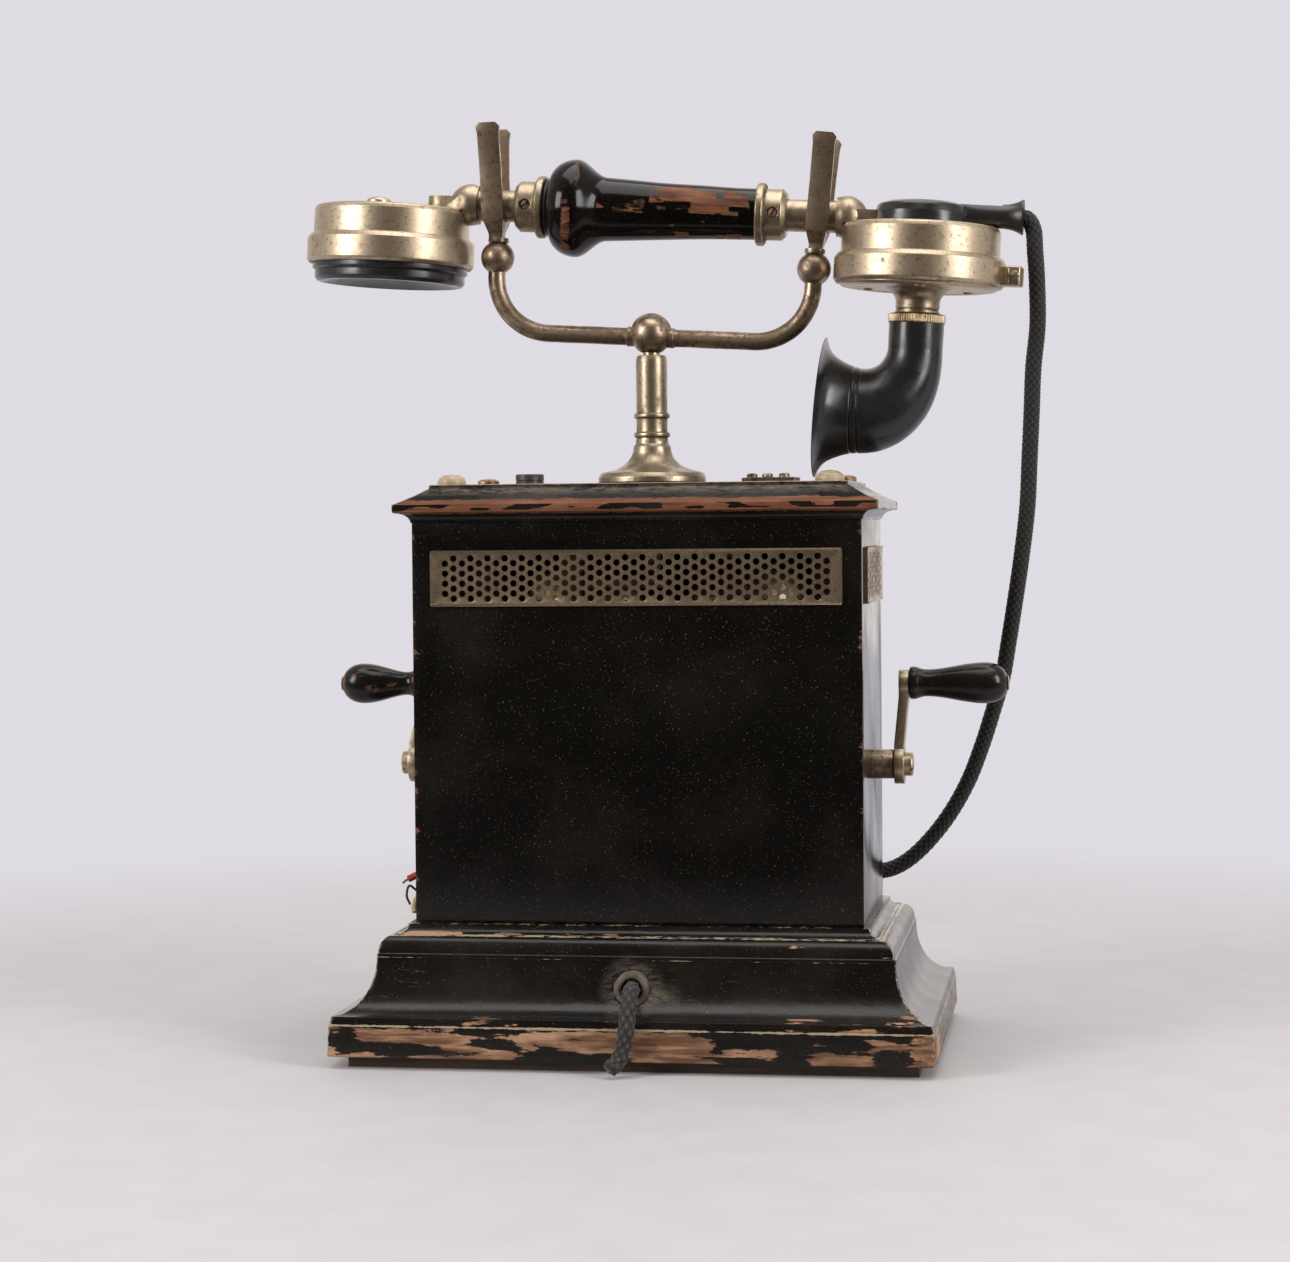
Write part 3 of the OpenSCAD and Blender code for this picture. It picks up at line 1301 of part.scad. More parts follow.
base_board();
bottom_screws();
plinth();
plinth_cap();
front_panel();
back_panel();
left_side();
right_side();
corner_posts();
deck();
lid();
ivory_domes();
lid_screws();
front_grille();
side_grilles();
cord_bushings();
arrester_plate();
post_sleeve();
shaft_bushes();
generator_frame();
magnets();
ringer_frame();
ringer_coils();
gongs();
induction_coil();
switch_frame();
contact_springs();
plunger();
cradle_bow();
forks();
hook_lever();
crank_shaft();
crank_gear();
crank_arms();
crank_pins();
left_handle();
right_handle();
armature();
push_button();
clapper();
grip();
handset_tube();
ferrules();
grip_washer();
elbows();
receiver_cup();
receiver_ring();
earpiece();
receiver_diaphragm();
receiver_magnet();
transmitter_cup();
transmitter_ring();
carbon_capsule();
transmitter_cap();
mouthpiece_neck();
knurled_ring();
horn();
handset_cord();
line_cord();
wire_ends();
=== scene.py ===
"""Looks of the magneto desk telephone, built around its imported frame. Lengths in code are millimetres
unless a comment says otherwise; build() turns them into metres."""

import json
import math

import bmesh
import bpy
import numpy as np
from mathutils import Matrix, Vector, noise
from mathutils.geometry import delaunay_2d_cdt


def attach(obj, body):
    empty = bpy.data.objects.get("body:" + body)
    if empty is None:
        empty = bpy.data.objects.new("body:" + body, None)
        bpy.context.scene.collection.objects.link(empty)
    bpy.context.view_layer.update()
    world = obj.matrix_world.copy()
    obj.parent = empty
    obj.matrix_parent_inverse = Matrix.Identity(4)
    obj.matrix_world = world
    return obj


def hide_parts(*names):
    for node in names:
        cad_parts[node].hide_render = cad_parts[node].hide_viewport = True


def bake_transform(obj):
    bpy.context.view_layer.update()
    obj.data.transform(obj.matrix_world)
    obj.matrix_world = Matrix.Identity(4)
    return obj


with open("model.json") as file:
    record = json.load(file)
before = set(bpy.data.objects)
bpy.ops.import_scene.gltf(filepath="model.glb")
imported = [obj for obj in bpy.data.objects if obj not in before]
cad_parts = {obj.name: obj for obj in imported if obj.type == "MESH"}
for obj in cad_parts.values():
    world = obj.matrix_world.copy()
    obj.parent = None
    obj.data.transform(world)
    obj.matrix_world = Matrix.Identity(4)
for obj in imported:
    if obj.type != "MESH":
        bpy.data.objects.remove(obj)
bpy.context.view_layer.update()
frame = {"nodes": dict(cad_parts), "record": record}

MM = 0.001
HALF_W, HALF_D = 83.0, 46.0
CASE_Z0, CASE_Z1, LID_Z1 = 50.2, 198.2, 212.2
BALL_Z = 269.0
TILT = math.radians(3.3)
SHAFT_Z, PIN_Z = 106.0, 136.5     # heights of the crank shaft and of the crank pins
WINDOW_Z = 177.5                  # middle height of the sound windows
BUTTON_X = -47.4
LINE_Z = 29                       # height of the line cord's hole
CORD_X, CORD_Z = 66, 58           # the hand set cord's hole in the back
BUSHING_BORE = 6.45
HOLE_SIDES = 48

CRADLE = Matrix.Translation((0, 0, BALL_Z)) @ Matrix.Rotation(TILT, 4, "Y")
HANDSET = CRADLE @ Matrix.Translation((0, 0, 46.4))
RECEIVER = HANDSET @ Matrix.Translation((-102.5, 0, 0))
TRANSMITTER = HANDSET @ Matrix.Translation((100.1, 0, 0))
ALONG_X = Matrix.Rotation(math.pi / 2, 4, "Y")     # turns a lathe's own Z to +X
ALONG_Y = Matrix.Rotation(-math.pi / 2, 4, "X")    # turns a lathe's own Z to +Y
BACK_X = Matrix.Rotation(-math.pi / 2, 4, "Y")     # turns a lathe's own Z to -X


def linked(name, data):
    """A new object in the scene."""
    made = bpy.data.objects.new(name, data)
    bpy.context.scene.collection.objects.link(made)
    return made


# ---- Camera ----

def make_camera():
    """The photograph's view: 82.61 mm lens on a 36 mm wide sensor, with no shift."""
    yaw, pitch, roll = (math.radians(a) for a in (8.843, -1.984, -0.514))
    forward = Vector((-math.sin(yaw) * math.cos(pitch), math.cos(yaw) * math.cos(pitch), math.sin(pitch)))
    level = Vector((math.cos(yaw), math.sin(yaw), 0))
    up = level.cross(forward)
    right = math.cos(roll) * level + math.sin(roll) * up
    up = right.cross(forward)
    data = bpy.data.cameras.new("camera")
    data.lens, data.sensor_width, data.sensor_fit = 82.61, 36, "HORIZONTAL"
    data.clip_start, data.clip_end = 0.05, 50
    turn = Matrix((right, up, -forward)).transposed().to_4x4()
    cam = linked("camera", data)
    cam.matrix_world = Matrix.Translation((0.16965, -1.11233, 0.19536)) @ turn
    bpy.context.scene.camera = cam


make_camera()


# ---- Material nodes ----

class Nodes:
    """Short calls for building a node tree."""

    def __init__(self, tree):
        self.tree = tree
        tree.nodes.clear()

    def node(self, kind, **settings):
        made = self.tree.nodes.new(kind)
        for key, value in settings.items():
            setattr(made, key, value)
        return made

    def put(self, socket, value):
        if isinstance(value, bpy.types.NodeSocket):
            self.tree.links.new(value, socket)
        elif isinstance(value, (tuple, list)) and socket.type == "RGBA":
            socket.default_value = (*value, 1)[:4]
        else:
            socket.default_value = value

    def step(self, value, low, high, out_low=0.0, out_high=1.0):
        made = self.node("ShaderNodeMapRange", interpolation_type="SMOOTHSTEP")
        self.put(made.inputs["Value"], value)
        for key, number in (("From Min", low), ("From Max", high), ("To Min", out_low), ("To Max", out_high)):
            made.inputs[key].default_value = number
        return made.outputs["Result"]

    def mix(self, share, a, b):
        made = self.node("ShaderNodeMix", data_type="RGBA")
        for i, value in zip((0, 6, 7), (share, a, b)):
            self.put(made.inputs[i], value)
        return made.outputs[2]


MATERIALS = {}


class Paint(Nodes):
    """A node material with short calls for what its textures need."""

    def __init__(self, name):
        self.material = MATERIALS[name] = bpy.data.materials.new(name)
        self.material.use_nodes = True
        super().__init__(self.material.node_tree)
        self.out = self.node("ShaderNodeOutputMaterial")
        self.where = self.node("ShaderNodeTexCoord").outputs["Object"]

    def noise(self, scale, detail=3.0, rough=0.55, stretch=None, warp=0.0):
        where = self.where
        if stretch:
            mapping = self.node("ShaderNodeMapping")
            self.put(mapping.inputs["Vector"], where)
            mapping.inputs["Scale"].default_value = stretch
            where = mapping.outputs["Vector"]
        made = self.node("ShaderNodeTexNoise")
        self.put(made.inputs["Vector"], where)
        made.inputs["Scale"].default_value = scale
        made.inputs["Detail"].default_value = detail
        made.inputs["Roughness"].default_value = rough
        made.inputs["Distortion"].default_value = warp
        return made.outputs["Fac"]

    def math(self, kind, a, b=0.0):
        made = self.node("ShaderNodeMath", operation=kind)
        self.put(made.inputs[0], a)
        self.put(made.inputs[1], b)
        return made.outputs[0]

    def add(self, a, b):
        return self.math("ADD", a, b)

    def sub(self, a, b):
        return self.math("SUBTRACT", a, b)

    def mul(self, a, b):
        return self.math("MULTIPLY", a, b)

    def blend(self, share, a, b):
        made = self.node("ShaderNodeMix", data_type="FLOAT")
        for i, value in zip((0, 2, 3), (share, a, b)):
            self.put(made.inputs[i], value)
        return made.outputs[0]

    def axes(self):
        """The place's three coordinates."""
        split = self.node("ShaderNodeSeparateXYZ")
        self.put(split.inputs[0], self.where)
        return split.outputs

    def attribute(self, name):
        return self.node("ShaderNodeAttribute", attribute_name=name).outputs["Fac"]

    def bump(self, height, depth, strength):
        made = self.node("ShaderNodeBump")
        made.inputs["Strength"].default_value = strength
        made.inputs["Distance"].default_value = depth
        self.put(made.inputs["Height"], height)
        return made.outputs["Normal"]

    def surface(self, **inputs):
        shader = self.node("ShaderNodeBsdfPrincipled")
        for key, value in inputs.items():
            self.put(shader.inputs[key.replace("_", " ")], value)
        self.put(self.out.inputs["Surface"], shader.outputs[0])


def metal(name, bright, dull, dark, rough=(0.36, 0.5), patch=0.5, speck=0.75, fine=1.0):
    """Old plated metal: dull clouds over a bright ground, dark specks, and dirt and painted shade where the piece
    says so.
    """
    p = Paint(name)
    clouds = p.noise(38 * fine, 4, 0.62, warp=0.6)
    grain = p.noise(260 * fine, 5, 0.68)
    specks = p.noise(1500 * fine, 2, 0.5)
    pits = p.noise(520 * fine, 3, 0.6)
    cover = p.step(p.add(p.mul(clouds, 0.6), p.mul(grain, 0.4)), 0.62 - 0.3 * patch, 0.78 - 0.3 * patch)
    color = p.mix(cover, bright, dull)
    color = p.mix(p.mul(p.step(pits, 0.56, 0.7), speck * 0.55), color, dark)
    color = p.mix(p.mul(p.step(specks, 0.58, 0.66), speck * 0.5), color, dark)
    # The piece's attribute darkens and dulls the metal: real dirt and rust in some places, painted shade in recesses,
    # holes and on undersides in others.
    grime_and_shade = p.step(p.add(p.attribute("grime_and_shade"), p.mul(p.sub(grain, 0.5), 0.9)), 0.35, 0.85)
    color = p.mix(p.mul(grime_and_shade, 0.85), color, dark)
    roughness = p.blend(cover, rough[0], rough[1])
    roughness = p.add(roughness, p.mul(grime_and_shade, 0.25))
    scratch = p.noise(700, 2, 0.5, stretch=(0.12, 1.0, 1.0))
    height = p.add(p.mul(pits, 0.6), p.mul(scratch, 0.4))
    p.surface(Base_Color=color, Metallic=1.0, Roughness=roughness, Normal=p.bump(height, 0.00004, 0.55))


def lacquered_wood(name, black, brown, wood, wood_dark, gloss, specks, scuff=0.5, edge_box=None, pale_edge=None,
                   dull=0.28, flake=420.0, streaks=0.5, fade=0.25, mitred=False, shine=0.3):
    """Black lacquer that has flaked from its wood. The piece's wear attribute says where."""
    p = Paint(name)
    if mitred:
        # The grain of a moulding's end pieces runs along Y.
        x, y, z = p.axes()
        turned = p.node("ShaderNodeCombineXYZ")
        for i, value in enumerate((p.add(y, 0.4), x, z)):
            p.put(turned.inputs[i], value)
        past = p.sub(p.math("ABSOLUTE", x), p.math("ABSOLUTE", y))
        pick = p.node("ShaderNodeMix", data_type="VECTOR")
        p.put(pick.inputs[0], p.math("GREATER_THAN", past, (HALF_W - HALF_D) * MM))
        p.put(pick.inputs[4], p.where)
        p.put(pick.inputs[5], turned.outputs[0])
        p.where = pick.outputs[1]
    wear = p.attribute("wear")
    flakes = p.noise(flake * 0.22, 6, 0.66, stretch=(0.38, 1, 1), warp=0.8)
    crumbs = p.noise(flake * 1.6, 3, 0.6, stretch=(0.5, 1, 1))
    slivers = p.noise(flake * 0.9, 4, 0.6, stretch=(0.13, 1, 1), warp=0.4)
    ragged = p.add(p.mul(p.sub(flakes, 0.5), 1.35), p.mul(p.sub(crumbs, 0.5), 0.42))
    ragged = p.add(ragged, p.mul(p.sub(slivers, 0.5), streaks * 2.2))
    if edge_box:
        # Chips along the upright edges of a box with these half sizes, in metres.
        place = p.axes()
        near_x, near_y = (p.step(p.math("ABSOLUTE", place[i]), edge_box[i] - 0.0035, edge_box[i]) for i in (0, 1))
        wear = p.add(wear, p.mul(p.mul(near_x, near_y), 0.42))
    bare = p.step(p.add(wear, ragged), 0.56, 0.62)
    halfway = p.step(p.add(wear, ragged), 0.40, 0.58)
    grain = (0.07, 1.0, 1.0)
    fibres = p.noise(520, 5, 0.6, stretch=grain, warp=0.25)
    pores = p.noise(1900, 2, 0.5, stretch=grain)
    timber = p.mix(p.step(fibres, 0.36, 0.66), wood_dark, wood)
    timber = p.mix(p.mul(p.step(pores, 0.5, 0.66), 0.75), timber, wood_dark)
    faded = p.step(p.noise(110, 4, 0.6, stretch=(0.3, 1, 1)), 0.46, 0.62)
    timber = p.mix(p.mul(faded, fade), timber, tuple(1.25 * c + 0.035 for c in wood))
    stains = p.step(p.noise(75, 4, 0.6, stretch=(0.4, 1, 1)), 0.5, 0.68)
    timber = p.mix(p.mul(stains, 0.55), timber, wood_dark)
    clouds = p.noise(24, 5, 0.6)
    dust = p.step(p.noise(2300, 2, 0.4), 0.70, 0.76)
    marks = p.step(p.noise(330, 4, 0.6, stretch=(0.25, 1, 1), warp=1.5), 0.66, 0.78)
    coat = p.mix(p.step(clouds, 0.42, 0.72), black, brown)
    coat = p.mix(p.mul(marks, scuff * 0.3), coat, (0.075, 0.055, 0.04))
    coat = p.mix(p.mul(dust, specks * 0.5), coat, (0.32, 0.27, 0.2))
    coat = p.mix(p.mul(halfway, 0.55), coat, (0.05, 0.024, 0.013))
    color = p.mix(bare, coat, timber)
    if pale_edge:
        line = p.step(p.add(p.attribute("edge"), p.mul(p.sub(crumbs, 0.5), 1.1)), 0.62, 0.74)
        color = p.mix(line, color, pale_edge)
    rough = p.blend(p.step(clouds, 0.35, 0.7), gloss, dull)
    rough = p.add(rough, p.mul(marks, 0.18))
    rough = p.blend(bare, rough, 0.62)
    dust_lie = p.mul(p.attribute("dust"), p.step(p.noise(620, 4, 0.65, stretch=(0.35, 1, 1), warp=0.5), 0.3, 0.7))
    color = p.mix(p.mul(dust_lie, 0.75), color, (0.22, 0.185, 0.145))
    rough = p.blend(dust_lie, rough, 0.7)
    height = p.sub(p.mul(p.noise(60, 3, 0.5), 0.5), p.mul(bare, 1.1))
    height = p.add(height, p.mul(p.mul(fibres, bare), 0.7))
    p.surface(Base_Color=color, Roughness=rough, Specular_IOR_Level=shine, Normal=p.bump(height, 0.00014, 0.8))


def plain(name, one, two, dust_color=(0.2, 0.18, 0.15), *, rough, scale=60.0, dust=0.3, stretch=None,
          depth=0.00003, metallic=0.0, bump_scale=600.0):
    """A single substance, with clouds of colour and gloss, specks and a fine unevenness."""
    p = Paint(name)
    clouds = p.noise(scale, 5, 0.6, stretch=stretch, warp=0.4)
    fine = p.noise(bump_scale, 3, 0.6, stretch=stretch)
    color = p.mix(p.step(clouds, 0.35, 0.7), one, two)
    color = p.mix(p.mul(p.step(p.noise(1900, 2), 0.64, 0.74), dust), color, dust_color)
    roughness = p.blend(p.step(p.noise(scale * 2.2, 4), 0.35, 0.7), rough[0], rough[1])
    p.surface(Base_Color=color, Roughness=roughness, Metallic=metallic, Normal=p.bump(fine, depth, 0.7))


def raw_wood(name, light, dark):
    """Bare wood with long grain and darker rings."""
    p = Paint(name)
    stretch = (0.06, 1, 1)
    fibres = p.noise(420, 6, 0.62, stretch=stretch, warp=0.5)
    rings = p.noise(70, 3, 0.5, stretch=stretch)
    color = p.mix(p.step(fibres, 0.35, 0.68), dark, light)
    color = p.mix(p.mul(p.step(rings, 0.5, 0.7), 0.5), color, dark)
    p.surface(Base_Color=color, Roughness=0.6, Normal=p.bump(fibres, 0.00012, 0.7))


def braid(name, dark, light, dust_color):
    """Braided yarn. The piece's relief attribute is high on a strand and low between strands. The colour is lighter
    on the strand tops, a painted highlight, and darker between them and on one set of strands, a painted shade.
    """
    p = Paint(name)
    relief_and_highlight, shaded_strands = p.attribute("relief_and_highlight"), p.attribute("shaded_strands")
    fibres = p.noise(2600, 2, 0.6)
    # Lighter on the strand tops, a painted highlight; darker between the strands, a painted shade. The strands of one
    # set are darkened more, also a painted shade.
    color = p.mix(p.step(relief_and_highlight, 0.45, 1.0), dark, light)
    color = p.mix(p.mul(shaded_strands, 0.6), color, dark)
    color = p.mix(p.mul(p.step(p.noise(900, 3), 0.6, 0.75), 0.3), color, dust_color)
    p.surface(Base_Color=color, Roughness=0.75, Sheen_Weight=0.25, Sheen_Roughness=0.5,
              Sheen_Tint=(0.6, 0.55, 0.5, 1.0), Normal=p.bump(p.add(fibres, p.mul(relief_and_highlight, 0.4)), 0.00012, 0.8))


WOOD, WOOD_DARK = (0.21, 0.078, 0.027), (0.09, 0.028, 0.011)
lacquered_wood("black_lacquer", (0.0028, 0.0024, 0.002), (0.006, 0.0047, 0.0035), WOOD, WOOD_DARK, gloss=0.14,
               specks=1.1, edge_box=(HALF_W * MM, HALF_D * MM))
lacquered_wood("plinth_lacquer", (0.004, 0.0033, 0.0026), (0.011, 0.0078, 0.0052), (0.315, 0.17, 0.094),
               (0.10, 0.044, 0.021), gloss=0.2, specks=0.9, fade=0.8, pale_edge=(0.30, 0.245, 0.165), streaks=1.0,
               mitred=True)
lacquered_wood("lid_lacquer", (0.005, 0.004, 0.0032), (0.019, 0.0145, 0.0105), (0.175, 0.056, 0.017),
               (0.08, 0.025, 0.009), gloss=0.22, scuff=1.2, specks=0.8, pale_edge=(0.30, 0.2, 0.12), mitred=True)
lacquered_wood("grip_wood", (0.0018, 0.0014, 0.0012), (0.005, 0.003, 0.0022), (0.18, 0.059, 0.017),
               (0.042, 0.013, 0.005), gloss=0.07, specks=0.5, dull=0.15, shine=0.22, flake=520.0)
lacquered_wood("handle_wood", (0.006, 0.005, 0.0042), (0.016, 0.010, 0.007), (0.21, 0.082, 0.03),
               (0.09, 0.03, 0.012), gloss=0.19, specks=0.9, dull=0.34, flake=700.0)
metal("nickel", (0.385, 0.31, 0.215), (0.225, 0.17, 0.11), (0.05, 0.031, 0.018), rough=(0.37, 0.5))
metal("pale_nickel", (0.50, 0.40, 0.285), (0.33, 0.255, 0.17), (0.09, 0.057, 0.032), rough=(0.39, 0.5), patch=0.4,
      speck=0.8)
metal("dark_nickel", (0.42, 0.325, 0.235), (0.225, 0.16, 0.108), (0.045, 0.027, 0.016), rough=(0.34, 0.5),
      patch=0.7, speck=0.9)
metal("grille_nickel", (0.40, 0.31, 0.215), (0.22, 0.16, 0.105), (0.035, 0.021, 0.013), rough=(0.36, 0.52),
      patch=0.6, speck=0.9, fine=1.3)
metal("brass", (0.66, 0.52, 0.33), (0.42, 0.30, 0.17), (0.10, 0.06, 0.03))
metal("copper_screw", (0.46, 0.30, 0.21), (0.26, 0.15, 0.095), (0.06, 0.03, 0.018), speck=1.0)
metal("steel", (0.55, 0.54, 0.52), (0.36, 0.35, 0.33), (0.08, 0.06, 0.05))
plain("red_iron", (0.26, 0.06, 0.045), (0.16, 0.035, 0.03), rough=(0.35, 0.5))
plain("armature_wire", (0.42, 0.2, 0.08), (0.26, 0.11, 0.05), rough=(0.35, 0.5), stretch=(8, 1, 1), metallic=0.7)
plain("green_silk", (0.05, 0.16, 0.08), (0.03, 0.1, 0.05), rough=(0.6, 0.8), stretch=(10, 1, 1), depth=0.0001)
plain("ivory", (0.43, 0.345, 0.22), (0.27, 0.195, 0.115), (0.13, 0.085, 0.045), rough=(0.28, 0.45), scale=150,
      dust=0.5)
plain("ebonite", (0.008, 0.0078, 0.0078), (0.013, 0.012, 0.011), rough=(0.22, 0.36), dust=0.14)
plain("dusty_ebonite", (0.045, 0.037, 0.031), (0.022, 0.018, 0.015), rough=(0.4, 0.6), dust=0.7)
plain("rubbed_fibre", (0.145, 0.115, 0.082), (0.06, 0.045, 0.032), (0.33, 0.28, 0.21), rough=(0.5, 0.7), scale=300,
      dust=0.5, depth=0.00008)
plain("black_fibre", (0.012, 0.011, 0.011), (0.022, 0.019, 0.017), rough=(0.4, 0.55))
metal("tinned_iron", (0.4, 0.4, 0.41), (0.28, 0.28, 0.29), (0.08, 0.07, 0.06))
# The bare wood is nearly black: a painted shadow for the dark gap under the plinth, where the bottom board shows.
raw_wood("bare_wood", (0.07, 0.04, 0.022), (0.028, 0.016, 0.01))
# The second colour of each braid is the painted highlight on its strand tops.
braid("black_braid", (0.0012, 0.001, 0.0009), (0.06, 0.052, 0.043), (0.085, 0.068, 0.05))
braid("grey_braid", (0.003, 0.0025, 0.0022), (0.10, 0.08, 0.066), (0.14, 0.11, 0.085))
plain("wire_cotton", (0.5, 0.4, 0.24), (0.36, 0.27, 0.15), rough=(0.7, 0.85), scale=400, depth=0.0001,
      bump_scale=3000)
plain("red_cotton", (0.42, 0.035, 0.02), (0.3, 0.02, 0.015), rough=(0.6, 0.8), scale=400, depth=0.0001,
      bump_scale=3000)


# ---- Mesh helpers ----

def sin_of(degrees):
    return math.sin(math.radians(degrees))


def cos_of(degrees):
    return math.cos(math.radians(degrees))


def about_z(degrees):
    return Matrix.Rotation(math.radians(degrees), 4, "Z")


def wave(x, y, z, scale=1.0):
    """Smooth noise around 0 at a place."""
    return noise.noise(Vector((x, y, z)) * scale)


def peak(away, reach):
    """1 where away is 0, falling to 0 at the reach."""
    return max(0.0, 1 - abs(away) / reach)


def as_is(points):
    """Profile points whose corners filleted() leaves alone."""
    return [(p[0], p[1], 0) for p in points]


def smooth(piece, sharp):
    """Smooth shading, with edges over this angle in degrees kept sharp."""
    mesh = piece.data
    mesh.polygons.foreach_set("use_smooth", np.ones(len(mesh.polygons), bool))
    mesh.set_sharp_from_angle(angle=math.radians(sharp))
    return mesh


def strip(low, high):
    """Four-sided faces between two closed rings of point numbers."""
    n = len(low)
    return [[low[j], low[(j + 1) % n], high[(j + 1) % n], high[j]] for j in range(n)]


def circle(radius, sides, x=0.0, y=0.0, shift=0.0):
    return [(x + radius * math.cos(2 * math.pi * (k + shift) / sides),
             y + radius * math.sin(2 * math.pi * (k + shift) / sides)) for k in range(sides)]


def rounded_outline(w, d, r, steps):
    """A rectangle with half sizes w and d and corners of radius r, as points."""
    return [(sx * (w - r) + r * cos_of(s + 90 * k / steps),
             sy * (d - r) + r * sin_of(s + 90 * k / steps))
            for sx, sy, s in ((1, 1, 0), (-1, 1, 90), (-1, -1, 180), (1, -1, 270)) for k in range(steps + 1)]


def dressed(piece, body, slot, nodes, paint, sharp):
    """Smooths the piece, gives it its material and hides the nodes it stands for. Without a body it doesn't ride."""
    smooth(piece, sharp)
    piece.data.materials.clear()
    piece.data.materials.append(MATERIALS[paint or slot])
    if body:
        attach(piece, body)
    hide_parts(*nodes)
    return piece


def build(name, part, body, slot, nodes, paint=None, at=None, attributes=None, sharp=38.0, bevel=0.0):
    """Makes one piece from millimetre points and faces, dresses it and hangs it on its body.

    An attribute is a list of values, one value for all points, or a function of x, y and z."""
    points, faces = part
    co = np.asarray(points, float).reshape(-1, 3)
    if at is not None:
        m = np.array(at, float)
        co = co @ m[:3, :3].T + m[:3, 3]
    mesh = bpy.data.meshes.new(name)
    mesh.from_pydata((co * MM).tolist(), [], [list(f) for f in faces])
    for key, values in (attributes or {}).items():
        if callable(values):
            values = [values(*p) for p in points]
        layer = mesh.attributes.new(key, "FLOAT", "POINT")
        layer.data.foreach_set("value", np.broadcast_to(np.asarray(values, np.float32).ravel(), len(points)).copy())
    bm = bmesh.new()
    bm.from_mesh(mesh)
    bmesh.ops.recalc_face_normals(bm, faces=bm.faces)
    bm.to_mesh(mesh)
    bm.free()
    piece = linked(name, mesh)
    if bevel:
        rounded_edges(piece, bevel)
    return dressed(piece, body, slot, nodes, paint, sharp)


def apply_modifiers(piece):
    bpy.context.view_layer.update()
    done = bpy.data.meshes.new_from_object(piece.evaluated_get(bpy.context.evaluated_depsgraph_get()))
    piece.modifiers.clear()
    old, piece.data = piece.data, done
    bpy.data.meshes.remove(old)


def rounded_edges(piece, width, segments=3, angle=32.0):
    """Rounds every edge sharper than angle, by width in millimetres."""
    m = piece.modifiers.new("edges", "BEVEL")
    m.width, m.segments, m.limit_method = width * MM, segments, "ANGLE"
    m.angle_limit, m.use_clamp_overlap, m.miter_outer = math.radians(angle), True, "MITER_ARC"
    apply_modifiers(piece)


def softened(node, body, width, paint, name, grime_and_shade):
    """A nickelled CAD node with its edges rounded, as polished castings and pressings have them."""
    source = frame["nodes"][node].data
    bm = bmesh.new()
    bm.from_mesh(source)
    bmesh.ops.remove_doubles(bm, verts=bm.verts, dist=2e-6)
    bmesh.ops.dissolve_limit(bm, angle_limit=math.radians(1.0), verts=bm.verts, edges=bm.edges)
    mesh = bpy.data.meshes.new(name)
    bm.to_mesh(mesh)
    bm.free()
    piece = linked(name, mesh)
    rounded_edges(piece, width)
    mesh = piece.data
    layer = mesh.attributes.new("grime_and_shade", "FLOAT", "POINT")
    co = np.zeros(len(mesh.vertices) * 3, np.float32)
    mesh.vertices.foreach_get("co", co)
    layer.data.foreach_set("value", np.array([grime_and_shade(*p) for p in co.reshape(-1, 3) / MM], np.float32))
    dressed(piece, body, "nickel", [node], paint, 40)


def filleted(profile, radius, steps):
    """The same profile with each corner rounded. An item may carry its own radius as a third value."""
    pts = [Vector(p[:2]) for p in profile]
    radii = [p[2] if len(p) > 2 else radius for p in profile]
    out = [pts[0]]
    for i in range(1, len(pts) - 1):
        a, b, c = pts[i - 1], pts[i], pts[i + 1]
        u, v = a - b, c - b
        if radii[i] <= 0 or u.length < 1e-6 or v.length < 1e-6 or abs(u.angle(v) - math.pi) < 0.09:
            out.append(b)
            continue
        reach = min(radii[i] / max(math.tan(u.angle(v) / 2), 0.05), u.length * 0.46, v.length * 0.46)
        p, q = b + u.normalized() * reach, b + v.normalized() * reach
        for k in range(steps + 1):
            t = k / steps
            out.append((1 - t) ** 2 * p + 2 * t * (1 - t) * b + t * t * q)
    out.append(pts[-1])
    return [tuple(p) for p in out]


def lathe(profile, sides, ripple=None):
    """Points and faces of a turned shape about Z. The profile is (radius, height), closed on itself."""
    points, rows = [], []
    for r, z in profile:
        if r < 1e-4:
            rows.append([len(points)] * sides)
            points.append((0, 0, z))
            continue
        rows.append(list(range(len(points), len(points) + sides)))
        for j in range(sides):
            a = 2 * math.pi * j / sides
            s = r + (ripple(a, r, z) if ripple else 0)
            points.append((s * math.cos(a), s * math.sin(a), z))
    faces = []
    closed = profile[0][0] > 1e-4 and profile[-1][0] > 1e-4
    pairs = list(zip(rows, rows[1:])) + ([(rows[-1], rows[0])] if closed else [])
    for low, high in pairs:
        for face in strip(low, high):
            face = [v for i, v in enumerate(face) if v not in face[:i]]
            if len(face) > 2:
                faces.append(face)
    return points, faces


def uneven(seed, depth, scale=0.08):
    """A small, slow unevenness for a turned surface."""
    def ripple(a, r, z):
        return depth * noise.noise(Vector((math.cos(a) * r * scale, math.sin(a) * r * scale + seed, z * scale)))
    return ripple


def joined(*parts):
    """Several (points, faces) as one."""
    points, faces = [], []
    for p, f in parts:
        start = len(points)
        points.extend(p)
        faces.extend([[v + start for v in face] for face in f])
    return points, faces


def placed(part, m):
    points, faces = part
    return [tuple(m @ Vector(p)) for p in points], faces


